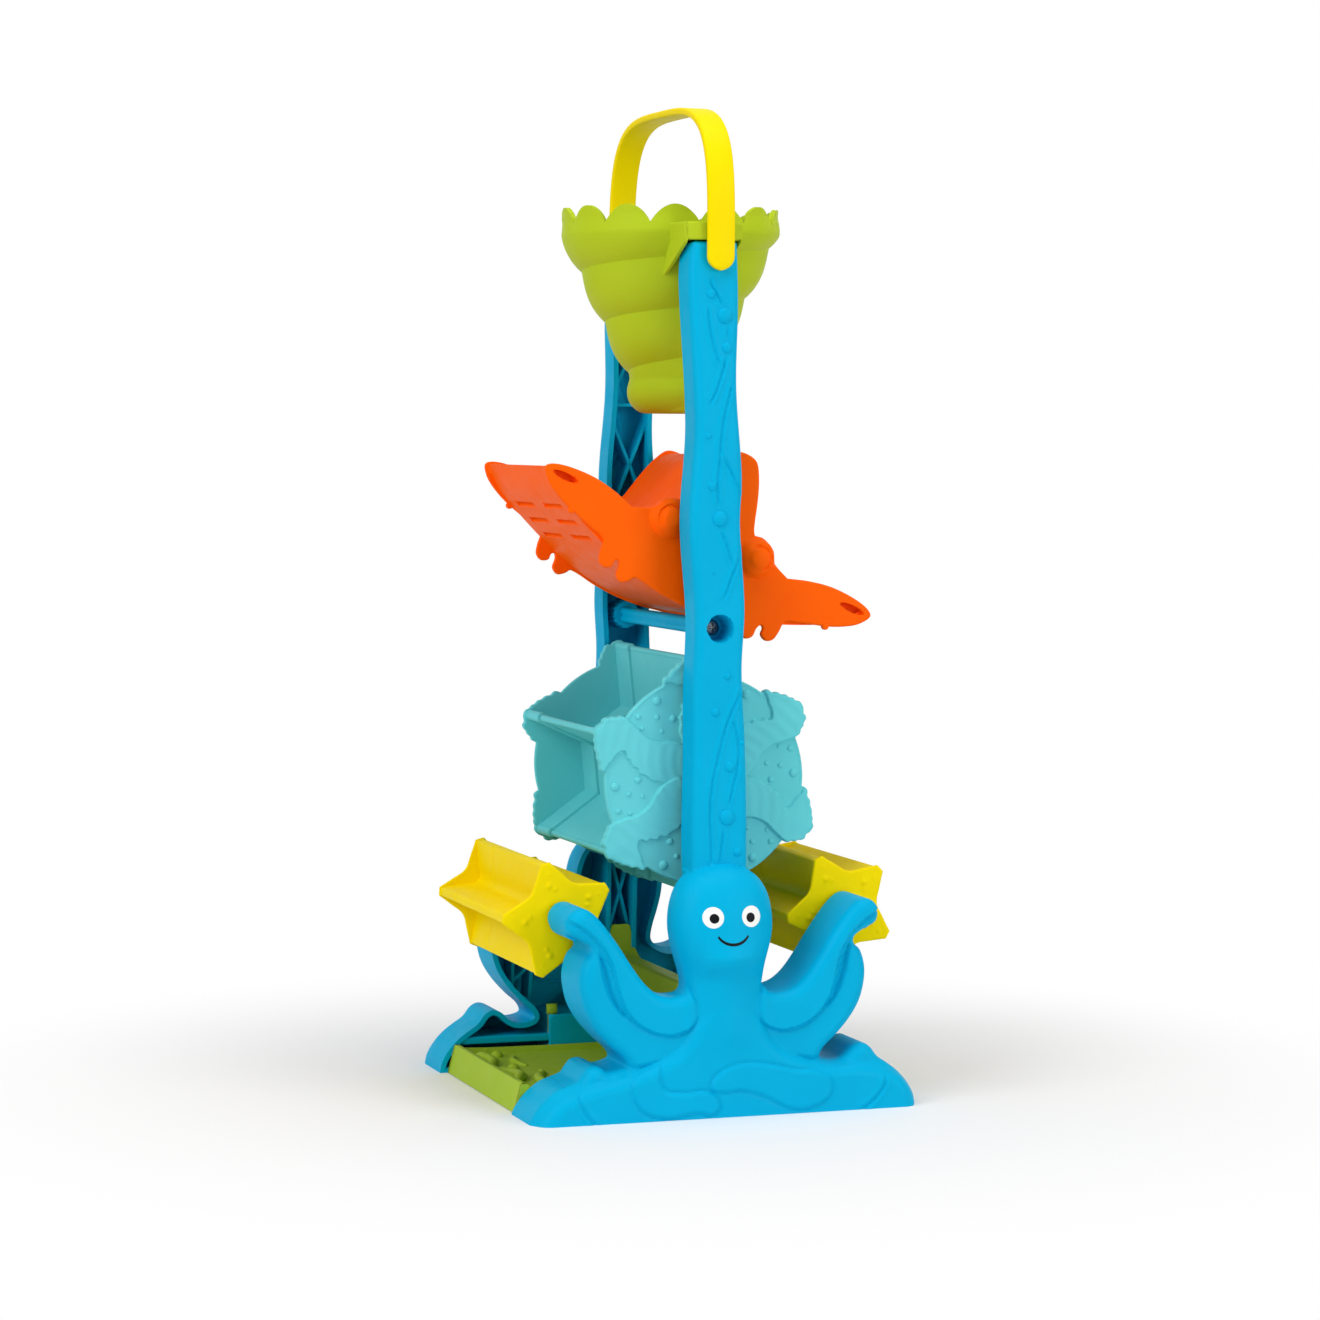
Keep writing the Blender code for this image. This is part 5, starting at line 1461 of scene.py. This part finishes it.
def divided_tray():
    """Shallow tray with a steep dividing ridge, and a tongue at each end inside the frame."""
    wall_top = TRAY_HALF_W - 3
    under_floor = TRAY_FLOOR - WALL
    wall = [(wall_top - 2.9, TRAY_WALL_H - 0.5), (wall_top - 2.2, TRAY_WALL_H),
            (wall_top - 0.5, TRAY_WALL_H), (wall_top + 0.1, TRAY_WALL_H - 0.6),
            (TRAY_HALF_W, TRAY_FOOT)]
    ridge = [tuple(p) for p in smooth_path(DIVIDER, 0.8)]
    right = ridge + [(x, TRAY_FLOOR) for x in (40, 66, wall_top - 5)] + wall
    under = [*DIVIDER_INSIDE, *((x, under_floor) for x in (14, 40, 66, wall_top - 6)),
             (wall_top - 5.5, TRAY_FOOT)]
    outer, inner = (flipped(half)[::-1][:-1] + half for half in (right, under))
    shell = extruded("tray_shell", np.array(outer + inner[::-1]),
                     0.1 - TRAY_HALF_D, TRAY_HALF_D - 0.1, 0.0, 3.0)
    lip = [(12, 10.5), (40, 10.4), (66, 10.6), (wall_top - 4.6, 11)]
    half = [p for p in ridge if p[1] > 11.2] + lip + wall
    foot = [(x, TRAY_FOOT) for x in (60, 30, 0, -30, -60)]
    end_loop = np.array(flipped(half)[::-1][:-1] + half + foot)
    tongue, neck = (smooth_path(mirrored(profile), 0.8, closed=True)
                    for profile in (TONGUE, TONGUE_NECK))
    pieces = [shell]
    for end in (-1, 1):
        for name, loop, near, far in (("tray_end", end_loop, TRAY_HALF_D - WALL, TRAY_HALF_D),
                                      ("tongue", tongue, TONGUE_Y - WALL, TONGUE_Y),
                                      ("tongue_neck", neck, TRAY_HALF_D - 1, TONGUE_Y - 0.5)):
            pieces.append(extruded(name, loop, *sorted((end * near, end * far)), 0.4, 3.0))
    growth = [frond(knots) for knots in FRONDS]
    growth.append(bubble_mesh("tray_drops", TRAY_DROPS, LEAF, 1.0))
    for name, low, high, radius in TAB_PIECES:
        low, high = ((x, TRAY_HALF_D + y, z) for x, y, z in (low, high))
        growth.append(rounded_box(name, low, high, radius))
    left = joined("tray_left", growth)
    pieces += [twin(left, "tray_right", HALF_TURN), left]
    placed(joined("divided_tray", pieces), "stand", "base_tray", LEAF)


# Studio: light of the surround, soft lamps (name, place, size, watts), where they aim, and the
# floor, in millimetres, with the metres after which its shadow fades and over which it does
SKY_LIGHT = 0.3
SOFT_LAMPS = (("soft_left", (-1.7, -0.8, 1.2), 1.2, 22), ("soft_top", (0.1, -0.3, 1.7), 1.2, 14),
              ("soft_front", (1.2, -1.8, 0.7), 1.0, 15))
LAMP_AIM = (0, 0, 0.2)
FLOOR_REACH = 6000
FLOOR_TONE = (0.88, 0.88, 0.88, 1)
SHADOW_NEAR = 0.1
SHADOW_FADE = 0.26

# The photograph's camera: place in metres, turns in degrees, focal length and width in pixels
CAMERA_PLACE = (-0.5188, -1.4602, 0.2824)
CAMERA_TURNS = ((-19.46, "Z"), (90 - 3.576, "X"), (0.443, "Z"))
FOCAL_PX = 3568.9
PHOTO_PX = 1320
SENSOR = 36.0


def seen_by_eye(tree):
    """1 for what the camera sees, also in reflections and through clear pieces; 0 for light that
    falls on things."""
    rays = tree.nodes.new("ShaderNodeLightPath").outputs
    seen = Field(tree, rays["Is Camera Ray"])
    for label in ("Is Glossy Ray", "Is Transmission Ray"):
        seen = seen.op("MAXIMUM", Field(tree, rays[label]))
    return seen


def studio_floor():
    """Pale floor that keeps the shadow near the tower and runs out into plain white."""
    signs = ((-1, -1), (1, -1), (1, 1), (-1, 1))
    corners = [(x * FLOOR_REACH, y * FLOOR_REACH, 0) for x, y in signs]
    floor = mesh_object("floor", corners, [(0, 1, 2, 3)])
    white = bpy.data.materials.new("studio_floor")
    white.use_nodes = True
    tree = white.node_tree
    shader = tree.nodes["Principled BSDF"]
    shader.inputs["Base Color"].default_value = FLOOR_TONE
    shader.inputs["Roughness"].default_value = 0.7
    shader.inputs["Specular IOR Level"].default_value = 0.1
    glow = tree.nodes.new("ShaderNodeEmission")
    where = tree.nodes.new("ShaderNodeTexCoord")
    length = tree.nodes.new("ShaderNodeVectorMath")
    length.operation = "LENGTH"
    tree.links.new(where.outputs["Object"], length.inputs[0])
    far = ((Field(tree, length.outputs["Value"]) - SHADOW_NEAR) / SHADOW_FADE).between(0.0, 1.0)
    far = far * far * (far * -2.0 + 3.0)
    mix = tree.nodes.new("ShaderNodeMixShader")
    tree.links.new((far * seen_by_eye(tree)).socket, mix.inputs[0])
    tree.links.new(shader.outputs[0], mix.inputs[1])
    tree.links.new(glow.outputs[0], mix.inputs[2])
    tree.links.new(mix.outputs[0], tree.nodes["Material Output"].inputs["Surface"])
    floor.data.materials.append(white)


def studio():
    """White floor and surround, a large soft light from the left, weaker ones above and before."""
    scene = bpy.context.scene
    scene.view_settings.view_transform = "Standard"
    studio_floor()
    world = bpy.data.worlds.new("studio")
    world.use_nodes = True
    scene.world = world
    tree = world.node_tree
    sky = tree.nodes["Background"]
    sky.inputs["Color"].default_value = (1, 1, 1, 1)
    tree.links.new((seen_by_eye(tree) * (1 - SKY_LIGHT) + SKY_LIGHT).socket, sky.inputs["Strength"])
    for name, place, size, watts in SOFT_LAMPS:
        data = bpy.data.lights.new(name, "AREA")
        data.size = size
        data.energy = watts
        lamp = linked(name, data)
        lamp.location = place
        aim = Vector(LAMP_AIM) - Vector(place)
        lamp.rotation_euler = aim.to_track_quat("-Z", "Y").to_euler()


def photo_camera():
    """The photograph's place: left of the front and a little above the middle."""
    data = bpy.data.cameras.new("photo_camera")
    data.sensor_width = SENSOR
    data.lens = SENSOR * FOCAL_PX / PHOTO_PX
    made = linked("photo_camera", data)
    place = Matrix.Translation(CAMERA_PLACE)
    for angle, axis in CAMERA_TURNS:
        place = place @ Matrix.Rotation(math.radians(angle), 4, axis)
    made.matrix_world = place
    bpy.context.scene.camera = made


end_frames()
tie_bar_and_screws()
strap_handle()
conch_funnel()
crab_seesaw()
sand_wheel()
star_wheels()
divided_tray()
studio()
photo_camera()
